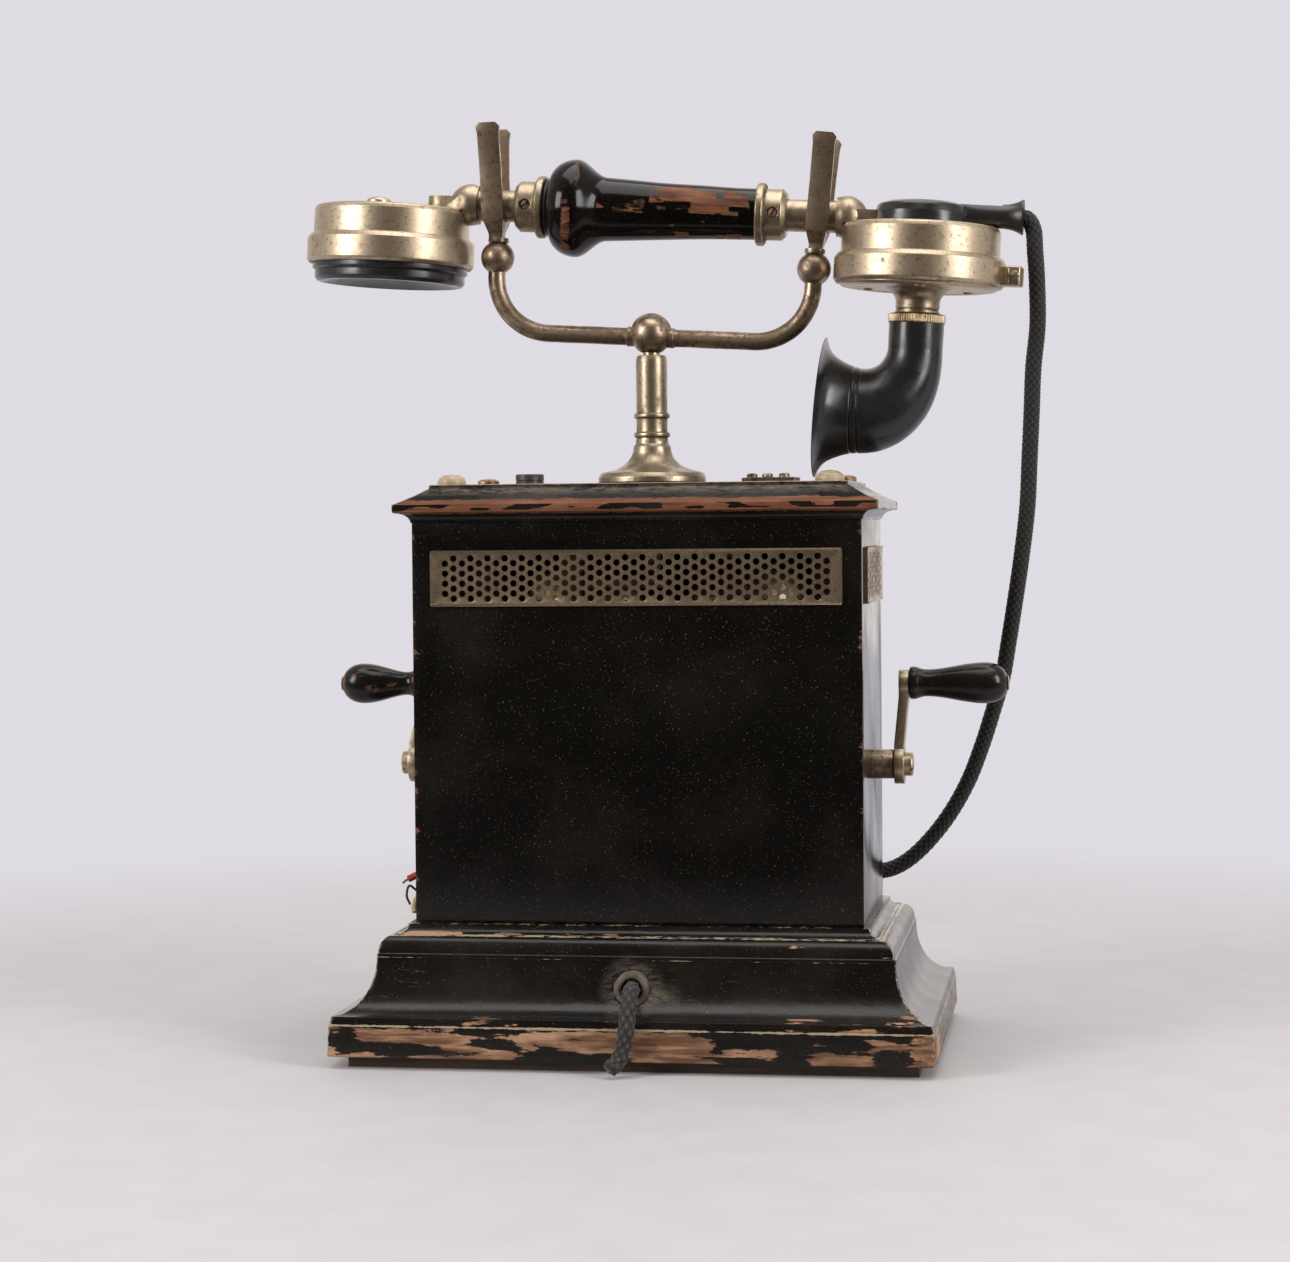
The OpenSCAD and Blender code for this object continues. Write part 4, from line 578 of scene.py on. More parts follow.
def smooth_path(points, spacing):
    """A Catmull-Rom curve through the points, with even steps of about the spacing."""
    pts = [Vector(p) for p in points]
    pts = [2 * pts[0] - pts[1]] + pts + [2 * pts[-1] - pts[-2]]
    fine = []
    for i in range(1, len(pts) - 2):
        a, b, c, d = pts[i - 1:i + 3]
        for k in range(24):
            t = k / 24
            fine.append(0.5 * (2 * b + (c - a) * t + (2 * a - 5 * b + 4 * c - d) * t * t
                               + (3 * b - a - 3 * c + d) * t ** 3))
    fine.append(pts[-2])
    lengths = [0.0]
    for a, b in zip(fine, fine[1:]):
        lengths.append(lengths[-1] + (b - a).length)
    count = max(2, round(lengths[-1] / spacing))
    out, j = [], 0
    for i in range(count + 1):
        want = lengths[-1] * i / count
        while j < len(lengths) - 2 and lengths[j + 1] < want:
            j += 1
        t = (want - lengths[j]) / max(lengths[j + 1] - lengths[j], 1e-9)
        out.append(fine[j].lerp(fine[j + 1], t))
    return out


def frames_along(path, side=Vector((0, 1, 0.3))):
    """Two cross directions at each point, carried along without twist."""
    out = []
    for i in range(len(path)):
        t = (path[min(i + 1, len(path) - 1)] - path[max(i - 1, 0)]).normalized()
        side = (side - side.dot(t) * t).normalized()
        out.append((side, t.cross(side)))
    return out


def tube(path, radius, sides, frames=None):
    """A capped tube. radius is a number, or gives one for (index, angle)."""
    frames = frames or frames_along(path)
    points, faces = [], []
    for i, (p, (a, b)) in enumerate(zip(path, frames)):
        for j in range(sides):
            angle = 2 * math.pi * j / sides
            r = radius(i, angle) if callable(radius) else radius
            points.append(tuple(p + r * (math.cos(angle) * a + math.sin(angle) * b)))
    for i in range(0, (len(path) - 1) * sides, sides):
        faces += strip(range(i, i + sides), range(i + sides, i + 2 * sides))
    faces.append(list(range(sides))[::-1])
    faces.append([(len(path) - 1) * sides + j for j in range(sides)])
    return points, faces


# ---- Cords ----

HANDSET_ROUTE = [
    (138.37, 0, 309.6), (141.8, 0, 308.7), (143.9, 0.3, 304.6), (144.4, 1, 297), (145, 2.5, 286),
    (145.1, 4.5, 270), (143.4, 7.5, 254), (142.6, 10.5, 237), (141.7, 13, 220), (140.7, 16, 202),
    (138.2, 19, 182), (135.7, 22.5, 166), (133, 27, 150), (130.6, 32.5, 137), (126.9, 38.5, 124.5),
    (122, 44.5, 109.5), (116, 48.5, 94.5), (107.5, 52, 80), (97, 55.5, 67.5), (87.5, 58, 60.5),
    (78, 58.5, 58.3), (70.5, 56, 58), (66.8, 51.5, 58), (66, 46, 58)]
LINE_ROUTE = [
    (0, -56, 29), (0.3, -63, 29), (0.6, -69.5, 27.6), (0.8, -74.6, 23.6), (0.6, -77.3, 17.5),
    (-0.4, -78.2, 11), (-2, -79.6, 6.4), (-4.6, -82.6, 3.6)]


def braided(route, radius, strands, pitch, sides, spacing, depth):
    """A braided cord: two sets of yarn bundles that cross over and under each other."""
    path = smooth_path(route, spacing)
    frames = frames_along(path)
    relief_and_highlight, shaded_strands = [], []

    def surface(i, angle):
        along = i * spacing / pitch * 2 * math.pi
        one = (angle * strands / 2 + along)
        two = (angle * strands / 2 - along)
        over = 0.5 + 0.5 * math.sin((one - two) / 2) * math.sin((one + two) / 2) / 0.75
        up_one, up_two = abs(math.cos(one / 2)), abs(math.cos(two / 2))
        height = max(up_one * (0.55 + 0.45 * over), up_two * (1.0 - 0.45 * over))
        # The first list rises on the strand tops and the second marks the strands of one set. The material paints
        # highlight and shade from them.
        relief_and_highlight.append(min(1.0, height))
        shaded_strands.append(1.0 if up_one * (0.55 + 0.45 * over) > up_two * (1.0 - 0.45 * over) else 0.0)
        return radius - depth * (1 - min(1.0, height))

    part = tube(path, surface, sides, frames)
    return part, path, {"relief_and_highlight": relief_and_highlight, "shaded_strands": shaded_strands}


def cord_length(path):
    return sum((b - a).length for a, b in zip(path, path[1:])) * MM


def make_cords():
    part, path, marks = braided(HANDSET_ROUTE, 3.3, 16, 3.0, 80, 0.36, 0.62)
    cord = build("handset_flex", part, None, "black_braid", ["handset_cord"], attributes=marks, sharp=180)
    cord_length(path)
    [tuple(p * MM) for p in path]
    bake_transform(cord)
    part, path, marks = braided(LINE_ROUTE, 3.3, 12, 4.4, 72, 0.3, 0.85)
    line = build("line_flex", part, "case", "grey_braid", ["line_cord"], attributes=marks, sharp=180)
    cord_length(path)
    [tuple(p * MM) for p in path]


make_cords()


# ---- Case, plinth and lid ----

def soft_patch(x, z, patch, reach=(5.0, 1.6)):
    """1 inside the box (x0, x1, z0, z1), falling to 0 this far outside it."""
    x0, x1, z0, z1 = patch[:4]
    dx = max(x0 - x, x - x1, 0) / reach[0]
    dz = max(z0 - z, z - z1, 0) / reach[1]
    return max(0.0, 1 - math.hypot(dx, dz))


# Steps along a short and a long side of a moulding.
SHORT_STEPS, LONG_STEPS = 90, 150


def ring_points(over, corner):
    """A rectangle around the case, this far outside it, with small round corners, in even steps."""
    w, d, r = HALF_W + over, HALF_D + over, corner
    out = []
    for sx, sy, start in ((1, -1, -90), (1, 1, 0), (-1, 1, 90), (-1, -1, 180)):
        for k in range(4):
            a = start + 90 * k / 3
            out.append((sx * (w - r) + r * cos_of(a), sy * (d - r) + r * sin_of(a)))
        nx, ny = (0, 1) if (sx, sy) == (1, -1) else (-1, 0) if (sx, sy) == (1, 1) else \
            (0, -1) if (sx, sy) == (-1, 1) else (1, 0)
        length = 2 * ((d if nx == 0 else w) - r)
        count = SHORT_STEPS if nx == 0 else LONG_STEPS
        x0, y0 = out[-1]
        for k in range(1, count):
            out.append((x0 + nx * length * k / count, y0 + ny * length * k / count))
    return out


def moulding(profile, corner=0.7, dent=0.12):
    """A profile of (distance out from the case, height) run around the case, with slightly uneven faces."""
    points, faces, rows = [], [], []
    for over, z in profile:
        row = ring_points(over, corner)
        rows.append(len(points))
        for x, y in row:
            n = wave(x * 0.07, y * 0.07, z * 0.2)
            m = wave(x * 0.6 + 9, y * 0.6, z * 0.5)
            scale = 1 + dent * (0.6 * n + 0.25 * m) / max(abs(x), abs(y), 1)
            points.append((x * scale, y * scale, z + dent * 0.35 * m))
    n = len(row)
    for a, b in zip(rows, rows[1:]):
        faces += strip(range(a, a + n), range(b, b + n))
    return points, faces, n


def hollow_moulding(outer, inner):
    """A moulding with a plain inner face, closed to a ring."""
    points, faces, n = moulding(outer)
    start = len(points)
    points, faces = joined((points, faces), moulding(inner, corner=0.01, dent=0)[:2])
    last = len(points) - n
    for pair in zip(strip(range(start - n, start), range(start, start + n)),
                    strip(range(last, last + n), range(n))):
        faces += pair
    return points, faces


def dense(profile, step):
    """The same profile with points added so that no step is longer."""
    out = [profile[0]]
    for a, b in zip(profile, profile[1:]):
        count = max(1, math.ceil(math.dist(a, b) / step))
        out.extend((a[0] + (b[0] - a[0]) * k / count, a[1] + (b[1] - a[1]) * k / count)
                   for k in range(1, count + 1))
    return out


# Worn patches as the front shows them: from and to along X, from and to in height.
BAND_WORN = [(-97, -66, 10.5, 14.5), (-106, -62, 3, 5.6), (-66, -38, 3, 13), (-37, -14, 8, 14.5),
             (-14, 20, 9, 15.5), (3, 29, 4, 13), (20, 32, 3, 7), (36, 57, 7, 9.5), (64, 87, 4, 8.6),
             (103, 112, 3, 16.5), (-112, -108, 3, 8), (88, 104, 11, 13)]
BAND_KEPT = [(-54, -42, 8, 12), (-40, -23, 3, 7), (58, 63, 3, 14), (-90, -80, 6, 9)]
CAP_WORN = [(-84, -66, 46.8, 47.5), (-26, -8, 46.8, 47.3), (8, 14, 47, 47.8), (58, 62, 44, 45.5),
            (-50, -44, 46.8, 47.3)]
BEVEL_WORN = [(59, 66, 17, 20), (70, 88, 17, 18.5), (92, 101, 18, 21), (-60, -40, 17, 18), (30, 36, 17, 18)]


def plinth_marks(points, kinks):
    """Wear on the faces and a pale line on the sharp edges, from where each point is."""
    wear, edge, dust = [], [], []
    for x, y, z in points:
        front = y < -HALF_D - 3 and abs(x) < HALF_W + 40
        along = x if abs(y) - HALF_D > abs(x) - HALF_W else y
        if z < 16.6:
            if front:
                w = 0.18 + 0.62 * max(soft_patch(x, z, p) for p in BAND_WORN)
                w -= 0.5 * max(soft_patch(x, z, p) for p in BAND_KEPT)
            else:
                w = 0.40 + 0.30 * wave(along * 0.05, z * 0.2, 4.0)
        elif z < 22 and front:
            w = 0.04 + 0.5 * max(soft_patch(x, z, p) for p in BEVEL_WORN)
        else:
            w = 0.02 + 0.06 * wave(along * 0.06, z * 0.1, 1.0)
        corner = min(abs(abs(x) - abs(y) - (HALF_W - HALF_D)), 6) / 6
        w += 0.26 * (1 - corner) if z < 22 else 0.1 * (1 - corner)
        e = max((s * peak(z - h, 0.5) for h, s in kinks), default=0)
        e = max(e, 0.85 * max(0.0, 1 - corner * 4))
        wear.append(w)
        edge.append(e * (0.95 + 0.4 * wave(x * 0.09, y * 0.09, z)))
        away = math.hypot(x, z - 29)
        halo = 0.55 * max(0.0, 1 - (away - 6.5) / 6) + 0.75 * peak(math.hypot((x - 9) / 10, (z - 26.5) / 5.5), 1)
        dust.append(halo if y < -HALF_D else 0.0)
    return {"wear": wear, "edge": edge, "dust": dust}


def chipped_corner(points):
    """The lower front right corner of the plinth is broken away a little."""
    out = []
    for x, y, z in points:
        near = peak(math.dist((x, y, z), (110.4, -73.4, 7.5)), 7.5)
        if near > 0:
            bite = near * (1.5 + 0.9 * wave(x, y, z, 0.9))
            x, y = x - bite * 0.8, y + bite * 0.8
        out.append((x, y, z))
    return out


def make_plinth():
    over, cove_over = 27.0, 12.3
    cove = [(over - 1 - (over - 1 - cove_over) * sin_of(a), 38.6 - 19.6 * cos_of(a)) for a in range(0, 91, 5)]
    outer = [(over + 0.4, 4.0, 0), (over + 0.4, 4.6, 0.5), (over, 16.0, 0.35), (over - 1, 19.0, 0.2)]
    outer = filleted([(24.4, 4.0, 0)] + outer[1:] + as_is(cove[1:]), 0.5, 3)
    inner = [(-15.0, 38.6), (-15.0, 6.05), (21.05, 6.05), (21.05, 4.0)]
    points, faces = hollow_moulding(dense(outer, 1.1), inner)
    points = chipped_corner(points)
    marks = plinth_marks(points, [(4.5, 0.5), (16.0, 1.1), (38.3, 1.1)])
    piece = build("plinth_frame", (points, faces), "case", "plinth_lacquer", ["plinth"], attributes=marks, sharp=50)
    cut_bores(piece, [((0, -60, LINE_Z), "Y", BUSHING_BORE, 60)])


def cut_away(piece, mesh):
    """Takes a closed mesh out of the piece."""
    tool = linked("tool", mesh)
    cut = piece.modifiers.new("cut", "BOOLEAN")
    cut.operation, cut.object, cut.solver = "DIFFERENCE", tool, "EXACT"
    apply_modifiers(piece)
    bpy.data.objects.remove(tool)


def cut_bores(piece, bores):
    """Cuts round holes: each is (a point on the axis, the axis, the radius, the length)."""
    for centre, axis, radius, length in bores:
        points, faces = lathe([(0, -length / 2), (radius, -length / 2), (radius, length / 2), (0, length / 2)],
                              HOLE_SIDES)
        turn = {"X": ALONG_X, "Y": ALONG_Y, "Z": Matrix.Identity(4)}[axis]
        m = Matrix.Translation(centre) @ turn
        mesh = bpy.data.meshes.new("bore")
        mesh.from_pydata([tuple(m @ Vector(p) * MM) for p in points], [], faces)
        cut_away(piece, mesh)


def make_cap():
    lip, cove_over, ledge = 7.2, 12.3, 2.5
    torus = [(lip + (cove_over - 0.5 - lip) * cos_of(a), 40.5 + 6.0 * sin_of(a)) for a in range(0, 91, 6)]
    scotia = [(lip - (lip - ledge) * sin_of(a), 50.2 - 3.7 * cos_of(a)) for a in range(0, 91, 10)]
    outer = filleted([(cove_over - 1, 38.65, 0), (cove_over, 38.65, 0.3), (cove_over - 0.1, 40.2, 0.3)]
                     + as_is(torus) + [(lip - 0.4, 46.9, 0.1)]
                     + as_is(scotia[1:]) + [(-1.0, 50.2, 0)], 0.3, 3)
    points, faces = hollow_moulding(dense(outer, 0.9), [(-15.0, 50.2), (-15.0, 38.65)])
    marks = plinth_marks(points, [(39.0, 0.7), (46.6, 1.1), (50.0, 1.0)])
    marks["wear"] = [w + 0.55 * max(soft_patch(x, z, p, (4.0, 0.8)) for p in CAP_WORN) if y < -HALF_D else w
                     for w, (x, y, z) in zip(marks["wear"], points)]
    build("plinth_ledge", (points, faces), "case", "plinth_lacquer", ["plinth_cap"], attributes=marks, sharp=50)


def make_walls():
    """The four walls as one lacquered box, open above and below, with the sound windows and the bores."""
    wall = 7
    outer, inner = ([(-w, -d), (w, -d), (w, d), (-w, d)]
                    for w, d in ((HALF_W, HALF_D), (HALF_W - wall, HALF_D - wall)))
    points = [(x, y, z) for z in (CASE_Z0, CASE_Z1) for ring in (outer, inner) for x, y in ring]
    faces = []
    for j in range(4):
        k = (j + 1) % 4
        faces += [[j, k, k + 8, j + 8], [j + 4, k + 4, k + 12, j + 12], [j, k, k + 4, j + 4],
                  [j + 8, k + 8, k + 12, j + 12]]
    piece = build("case_walls", (points, faces), "case", "black_lacquer",
                  ["front_panel", "back_panel", "left_side", "right_side"])
    for size, centre in (((144, 20, 16.6), (0, -42.5, WINDOW_Z)), ((200, 64, 16.6), (0, 0, WINDOW_Z))):
        mesh = bpy.data.meshes.new("window")
        bm = bmesh.new()
        bmesh.ops.create_cube(bm, size=1)
        bmesh.ops.scale(bm, vec=[s * MM for s in size], verts=bm.verts)
        bmesh.ops.translate(bm, vec=[c * MM for c in centre], verts=bm.verts)
        bm.to_mesh(mesh)
        bm.free()
        cut_away(piece, mesh)
    cut_bores(piece, [((0, 0, SHAFT_Z), "X", 5.55, 200), ((CORD_X, 42, CORD_Z), "Y", BUSHING_BORE, 12),
                      ((-80, -30, 66), "X", 1.4, 10), ((-80, -30, 58), "X", 1.4, 10),
                      ((-80, -26, 58), "X", 1.4, 10)])
    rounded_edges(piece, 0.7, 3, 40)
    # The large faces stay flat, so that no shade runs from their corners.
    mesh = piece.data
    normals = np.empty(len(mesh.polygons) * 3, np.float32)
    mesh.polygons.foreach_get("normal", normals)
    mesh.polygons.foreach_set("use_smooth", np.abs(normals.reshape(-1, 3)).max(axis=1) < 0.9999)
    mesh.set_sharp_from_angle(angle=math.radians(30))


def plate_with_holes(outline, holes, grid, inside=lambda x, y: True):
    """Triangles of a flat plate: the outline, round holes (x, y, radius, sides) and extra points in a grid."""
    verts, edges = [], []

    def loop(pts):
        start = len(verts)
        verts.extend(Vector(p) for p in pts)
        edges.extend((start + i, start + (i + 1) % len(pts)) for i in range(len(pts)))

    loop(outline)
    for x, y, r, sides in holes:
        loop(circle(r, sides, x, y))
    for x, y in grid:
        if inside(x, y) and all(math.hypot(x - h[0], y - h[1]) > h[2] + 0.3 for h in holes):
            verts.append(Vector((x, y)))
    flat, _, tris, *_ = delaunay_2d_cdt(verts, edges, [], 0, 1e-5)
    keep = []
    for tri in tris:
        c = sum((flat[i] for i in tri), Vector((0, 0))) / len(tri)
        if all(math.hypot(c.x - h[0], c.y - h[1]) > h[2] * 0.995 for h in holes):
            keep.append(list(tri))
    return [tuple(v) for v in flat], keep


def make_lid():
    nose, inset = 6.2, 5.3
    under = [(nose - 0.6 - (nose - 1.2) * cos_of(a), CASE_Z1 + 3.5 * sin_of(a)) for a in range(0, 91, 9)]
    slope = [(nose - (nose + inset) * f, CASE_Z1 + 6.6 + 6.0 * f * (0.8 + 0.2 * f)) for f in np.arange(0, 1.01, 0.1)]
    outer = filleted([(-8.0, CASE_Z1, 0)] + as_is(under)
                     + [(nose, CASE_Z1 + 3.8, 0.25), (nose, CASE_Z1 + 6.6, 0.5)]
                     + as_is(slope[1:]) + [(-inset, LID_Z1, 0.35), (-inset - 1, LID_Z1, 0)],
                     0.3, 3)
    profile = dense(outer, 0.8)
    points, faces, n = moulding(profile, dent=0.2)
    # The button's hole widens below into a well for its flange.
    well_r, well_z, hole_r = 6.95, CASE_Z1 + 4, 5.45
    for row, flip in ((0, True), (len(points) - n, False)):
        holes = [(0, 0, 5.05, HOLE_SIDES), (BUTTON_X, 0, well_r if flip else hole_r, HOLE_SIDES)]
        ring = points[row:row + n]
        z = CASE_Z1 if flip else LID_Z1
        grid = [(x, y) for x in np.arange(-74, 75, 2.0) for y in np.arange(-37, 38, 2.0)]
        flat, tris = plate_with_holes([p[:2] for p in ring], holes, [] if flip else grid,
                                      lambda x, y: abs(x) < HALF_W - 7.4 and abs(y) < HALF_D - 7.4)
        start = len(points)
        for i, (x, y) in enumerate(flat):
            points.append((x, y, ring[i][2] if i < n else z))
        faces.extend([[v + start for v in t] for t in tris])
        if flip:
            low = start + n
        else:
            high = start + n
    for h, steps in ((0, []), (1, [(well_r, well_z), (hole_r, well_z)])):
        rings = [[low + HOLE_SIDES * h + j for j in range(HOLE_SIDES)]]
        for r, z in steps:
            rings.append([len(points) + j for j in range(HOLE_SIDES)])
            points.extend((x, y, z) for x, y in circle(r, HOLE_SIDES, BUTTON_X))
        rings.append([high + HOLE_SIDES * h + j for j in range(HOLE_SIDES)])
        for a, b in zip(rings, rings[1:]):
            faces += strip(a, b)
    wear, edge, dust = [], [], []
    for x, y, z in points:
        along = x if abs(y) - HALF_D > abs(x) - HALF_W else y
        wander = 1.1 * wave(along * 0.07, 2.0, 0) + 0.5 * wave(along * 0.3, 5, 0)
        if z < CASE_Z1 + 3.1:
            w = 0.02
        elif z < CASE_Z1 + 8.3 + 0.5 * wander:
            w = 0.45 if x > HALF_W - 1 and abs(y) < HALF_D else 0.92
            if CASE_Z1 + 4.6 < z < CASE_Z1 + 6.6:
                streak = wave(along * 0.085, z * 0.3, 7.0)
                w -= min(0.75, max(0.0, streak + 0.06) * 4.5)
        elif z < LID_Z1 - 0.5:
            w = 0.16 + 0.2 * wave(along * 0.05, z * 0.5, 3.0)
        else:
            w = 0.16 + 0.2 * wave(x * 0.04, y * 0.04, 1.0)
        dust.append(peak(z - LID_Z1 + 2.2, 2.4) * 0.7 if z < LID_Z1 - 0.2 else 0.12)
        wear.append(w)
        rim = abs(x) > HALF_W - 6.5 or abs(y) > HALF_D - 6.5
        edge.append(peak(z - (LID_Z1 - 0.1), 0.5) if rim else 0.0)
    piece = build("lid_board", (points, faces), "case", "black_lacquer", ["lid"], paint="lid_lacquer",
                  attributes={"wear": wear, "edge": edge, "dust": dust}, sharp=42)
    bm = bmesh.new()
    bm.from_mesh(piece.data)
    bmesh.ops.remove_doubles(bm, verts=bm.verts, dist=4e-6)
    bmesh.ops.recalc_face_normals(bm, faces=bm.faces)
    bm.to_mesh(piece.data)
    bm.free()
    piece.data.set_sharp_from_angle(angle=math.radians(42))


def make_bushings():
    """The rubbed ring that the line cord comes out of, and the dark one of the hand set cord at the back."""
    ring = filleted([(3.8, -39.0), (3.8, -61.9, 0), (4.6, -62.6, 0.5), (6.2, -62.6, 0.5), (6.42, -61.6, 0.3),
                     (6.42, -39.0)], 0.3, 4)
    build("line_cord_bushing",
          placed(lathe(dense(ring, 1.2), 64, uneven(2, 0.12, 0.2)), Matrix.Translation((0, 0, LINE_Z)) @ ALONG_Y),
          "case", "black_fibre", ["cord_bushings"], paint="rubbed_fibre", sharp=50)
    ring = filleted([(3.86, 39.2), (6.42, 39.2), (6.42, 47.2, 0.2), (5.9, 47.6, 0.3), (4.5, 47.6, 0.4), (3.86, 46.9)],
                    0.3, 4)
    build("handset_cord_bushing",
          placed(lathe(dense(ring, 1.2), 64), Matrix.Translation((CORD_X, 0, CORD_Z)) @ ALONG_Y), "case",
          "black_fibre", ["cord_bushings"], sharp=50)


make_plinth()
make_cap()
make_walls()
make_lid()
make_bushings()


# ---- Grilles and what stands on the lid ----

def grille(width):
    """A perforated plate in the XZ plane, its back on y = 0, its face towards -Y, dimpled at the holes."""
    height, thickness, hole_r, well_r = 20.6, 1.6, 1.26, 1.5
    columns = 2 * math.floor((width - 4 - 7) / 3.2 / 2) + 1
    holes, wells = [], []
    for c in range(columns):
        rows = 4 if c % 2 == 0 else 5
        for k in range(rows):
            x, z = (c - (columns - 1) / 2) * 3.2, (k - (rows - 1) / 2) * 3.7
            holes.append((x, z, hole_r, 14))
            wells += circle(well_r, 14, x, z, 0.5)
    w, h = width / 2, height / 2
    outline = rounded_outline(w, h, 0.8, 3)
    rim = [(x * (w - 1.0) / w, z * (h - 1.0) / h) for x, z in outline]
    edge_grid = [(x, s * (h - 1.3)) for x in np.arange(-w + 2, w - 1.5, 2.0) for s in (1, -1)]
    flat, tris = plate_with_holes(outline, holes, wells + rim + edge_grid)
    n = len(flat)
    points = []
    for x, z in flat:
        near = min((math.hypot(x - a, z - b) for a, b, *_ in holes), default=9)
        sunk = 0.22 if near < hole_r + 0.1 else 0.0
        border = min(w - abs(x), h - abs(z))
        if border > 0.85:
            sunk += 0.28 * min(1.0, (border - 0.85) / 0.2)
        elif border < 0.05:
            sunk += 0.2
        points.append((x, -thickness + sunk + 0.06 * wave(x * 0.1, z * 0.2, 0), z))
    points += [(x, 0.0, z) for x, z in flat]
    faces = tris + [[v + n for v in reversed(t)] for t in tris]
    start = 0
    for count in [len(outline)] + [14] * len(holes):
        faces += strip(range(start, start + count), range(start + n, start + n + count))
        start += count
    # Darker towards the back of each hole, a painted shade inside the holes. A little darker round the holes' mouths
    # and in the band inside the rim.
    grime_and_shade = []
    for i, (x, _, z) in enumerate(points):
        border = min(w - abs(x), h - abs(z))
        near = min((math.hypot(x - a, z - b) for a, b, *_ in holes), default=9)
        inside = near < hole_r + 0.1 and i >= n
        grime_and_shade.append(0.95 if inside else 0.3 if near < hole_r + 0.1 else 0.42 if 0.8 < border < 2.2 else 0.12)
    return points, faces, {"grime_and_shade": grime_and_shade}


def make_grilles():
    points, faces, marks = grille(152)
    build("front_grille_plate", (points, faces), "case", "grille_nickel", ["front_grille"], attributes=marks,
          at=Matrix.Translation((0, -HALF_D, WINDOW_Z)), sharp=25)
    points, faces, marks = grille(72)
    both = joined(*(placed((points, faces), Matrix.Translation((side * HALF_W, 0, WINDOW_Z))
                           @ Matrix.Rotation(side * math.pi / 2, 4, "Z")) for side in (-1, 1)))
    build("side_grille_plates", both, "case", "grille_nickel", ["side_grilles"],
          attributes={"grime_and_shade": marks["grime_and_shade"] * 2}, sharp=25)


def slotted_head(radius, height, slot_w, crown, sides=40):
    """A cheese-head screw with a crowned top and a real slot, its underside on z = 0."""
    outline = circle(radius, sides)
    s = slot_w / 2
    grid = [(x, y) for x in np.linspace(-radius * 0.92, radius * 0.92, 13) for y in (-s - 0.02, -s, s, s + 0.02)]
    grid = [(x, y) for x, y in grid if math.hypot(x, y) < radius * 0.95]
    ring = [p for f in (0.5, 0.82, 0.93) for p in circle(radius * f, 24)]
    flat, tris = plate_with_holes(outline, [], grid + [p for p in ring if abs(p[1]) > s + 0.05])
    points = []
    for x, y in flat:
        d = math.hypot(x, y) / radius
        z = height + crown * (1 - d * d) - (0.35 if d > 0.97 else 0.0)
        points.append((x, y, z - (height * 0.5 if abs(y) <= s + 0.005 else 0)))
    n = len(points)
    points += [(x, y, 0) for x, y in outline]
    faces = tris + strip(range(sides), range(n, n + sides))
    faces.append([n + j for j in range(sides)][::-1])
    return points, faces


def make_lid_furniture():
    parts = []
    dome = filleted([(0, 212.2), (5.4, 212.2, 0), (5.4, 213.2, 0.5), (4.9, 214.6, 0.9), (3.2, 215.7, 1.4),
                     (0, 216.2)], 0.8, 5)
    for x in (-70.5, 70.5):
        parts.append(placed(lathe(dome, 48), Matrix.Translation((x, -33.5, 0))))
    build("ivory_caps", joined(*parts), "case", "ivory", ["ivory_domes"], sharp=60)
    parts = [placed(slotted_head(4.3, 2.4, 1.1, 0.8),
                    Matrix.Translation((x, 33.5, LID_Z1)) @ about_z(a))
             for x, a in ((-70.5, -30), (70.5, 30))]
    build("lid_screw_heads", joined(*parts), "case", "nickel", ["lid_screws"], paint="copper_screw", sharp=30,
          bevel=0.12)
    # The small plate near the horn, with its three screws and their dark traces.
    outline = rounded_outline(10.5, 6.0, 2.2, 6)
    grid = [(x, y) for x in np.arange(-8.5, 9, 1.7) for y in np.arange(-4, 5, 1.6)]
    flat, tris = plate_with_holes(outline, [], grid)
    n = len(flat)
    points = [(x, y, 1.8 - (0.25 if i < len(outline) else 0)) for i, (x, y) in enumerate(flat)]
    points += [(x, y, 0) for x, y in flat]
    faces = tris + [[v + n for v in reversed(t)] for t in tris]
    faces += strip(range(len(outline)), range(n, n + len(outline)))
    parts = [(points, faces)]
    for (sx, sy), a in zip(((-7, 0), (-1.5, 2), (5, 0)), (20, -35, 70)):
        parts.append(placed(slotted_head(2.0, 1.2, 0.6, 0.35, 28),
                            Matrix.Translation((sx, sy, 1.8)) @ about_z(a)))
    points, faces = joined(*parts)
    grime_and_shade = [0.75 if i < n else 0.62 for i in range(len(points))]
    build("small_lid_plate", (points, faces), "case", "nickel", ["arrester_plate"], paint="dark_nickel",
          at=Matrix.Translation((46.9, -15, LID_Z1)), attributes={"grime_and_shade": grime_and_shade}, sharp=30)
    # The push button, with a groove near its top and a shallow dish.
    button = filleted([(0, 196.0), (5.4, 196.0, 0), (5.4, 213.4, 0), (5.15, 213.6, 0), (5.15, 213.9, 0),
                       (5.4, 214.1, 0), (5.4, 216.4, 0.6), (3.6, 216.4, 0.5), (2.8, 216.0, 0.6), (0, 215.9)], 0.2, 4)
    flange = filleted([(5.3, 200.4), (6.6, 200.4, 0.2), (6.6, 201.9, 0.2), (5.3, 201.9)], 0.2, 2)
    build("push_button_cap", joined(lathe(button, 56), lathe(flange, 56)), "push_button", "ebonite",
          ["push_button"], paint="dusty_ebonite", at=Matrix.Translation((BUTTON_X, 0, 0)), sharp=35)


make_grilles()
make_lid_furniture()


# ---- Post and cradle ----

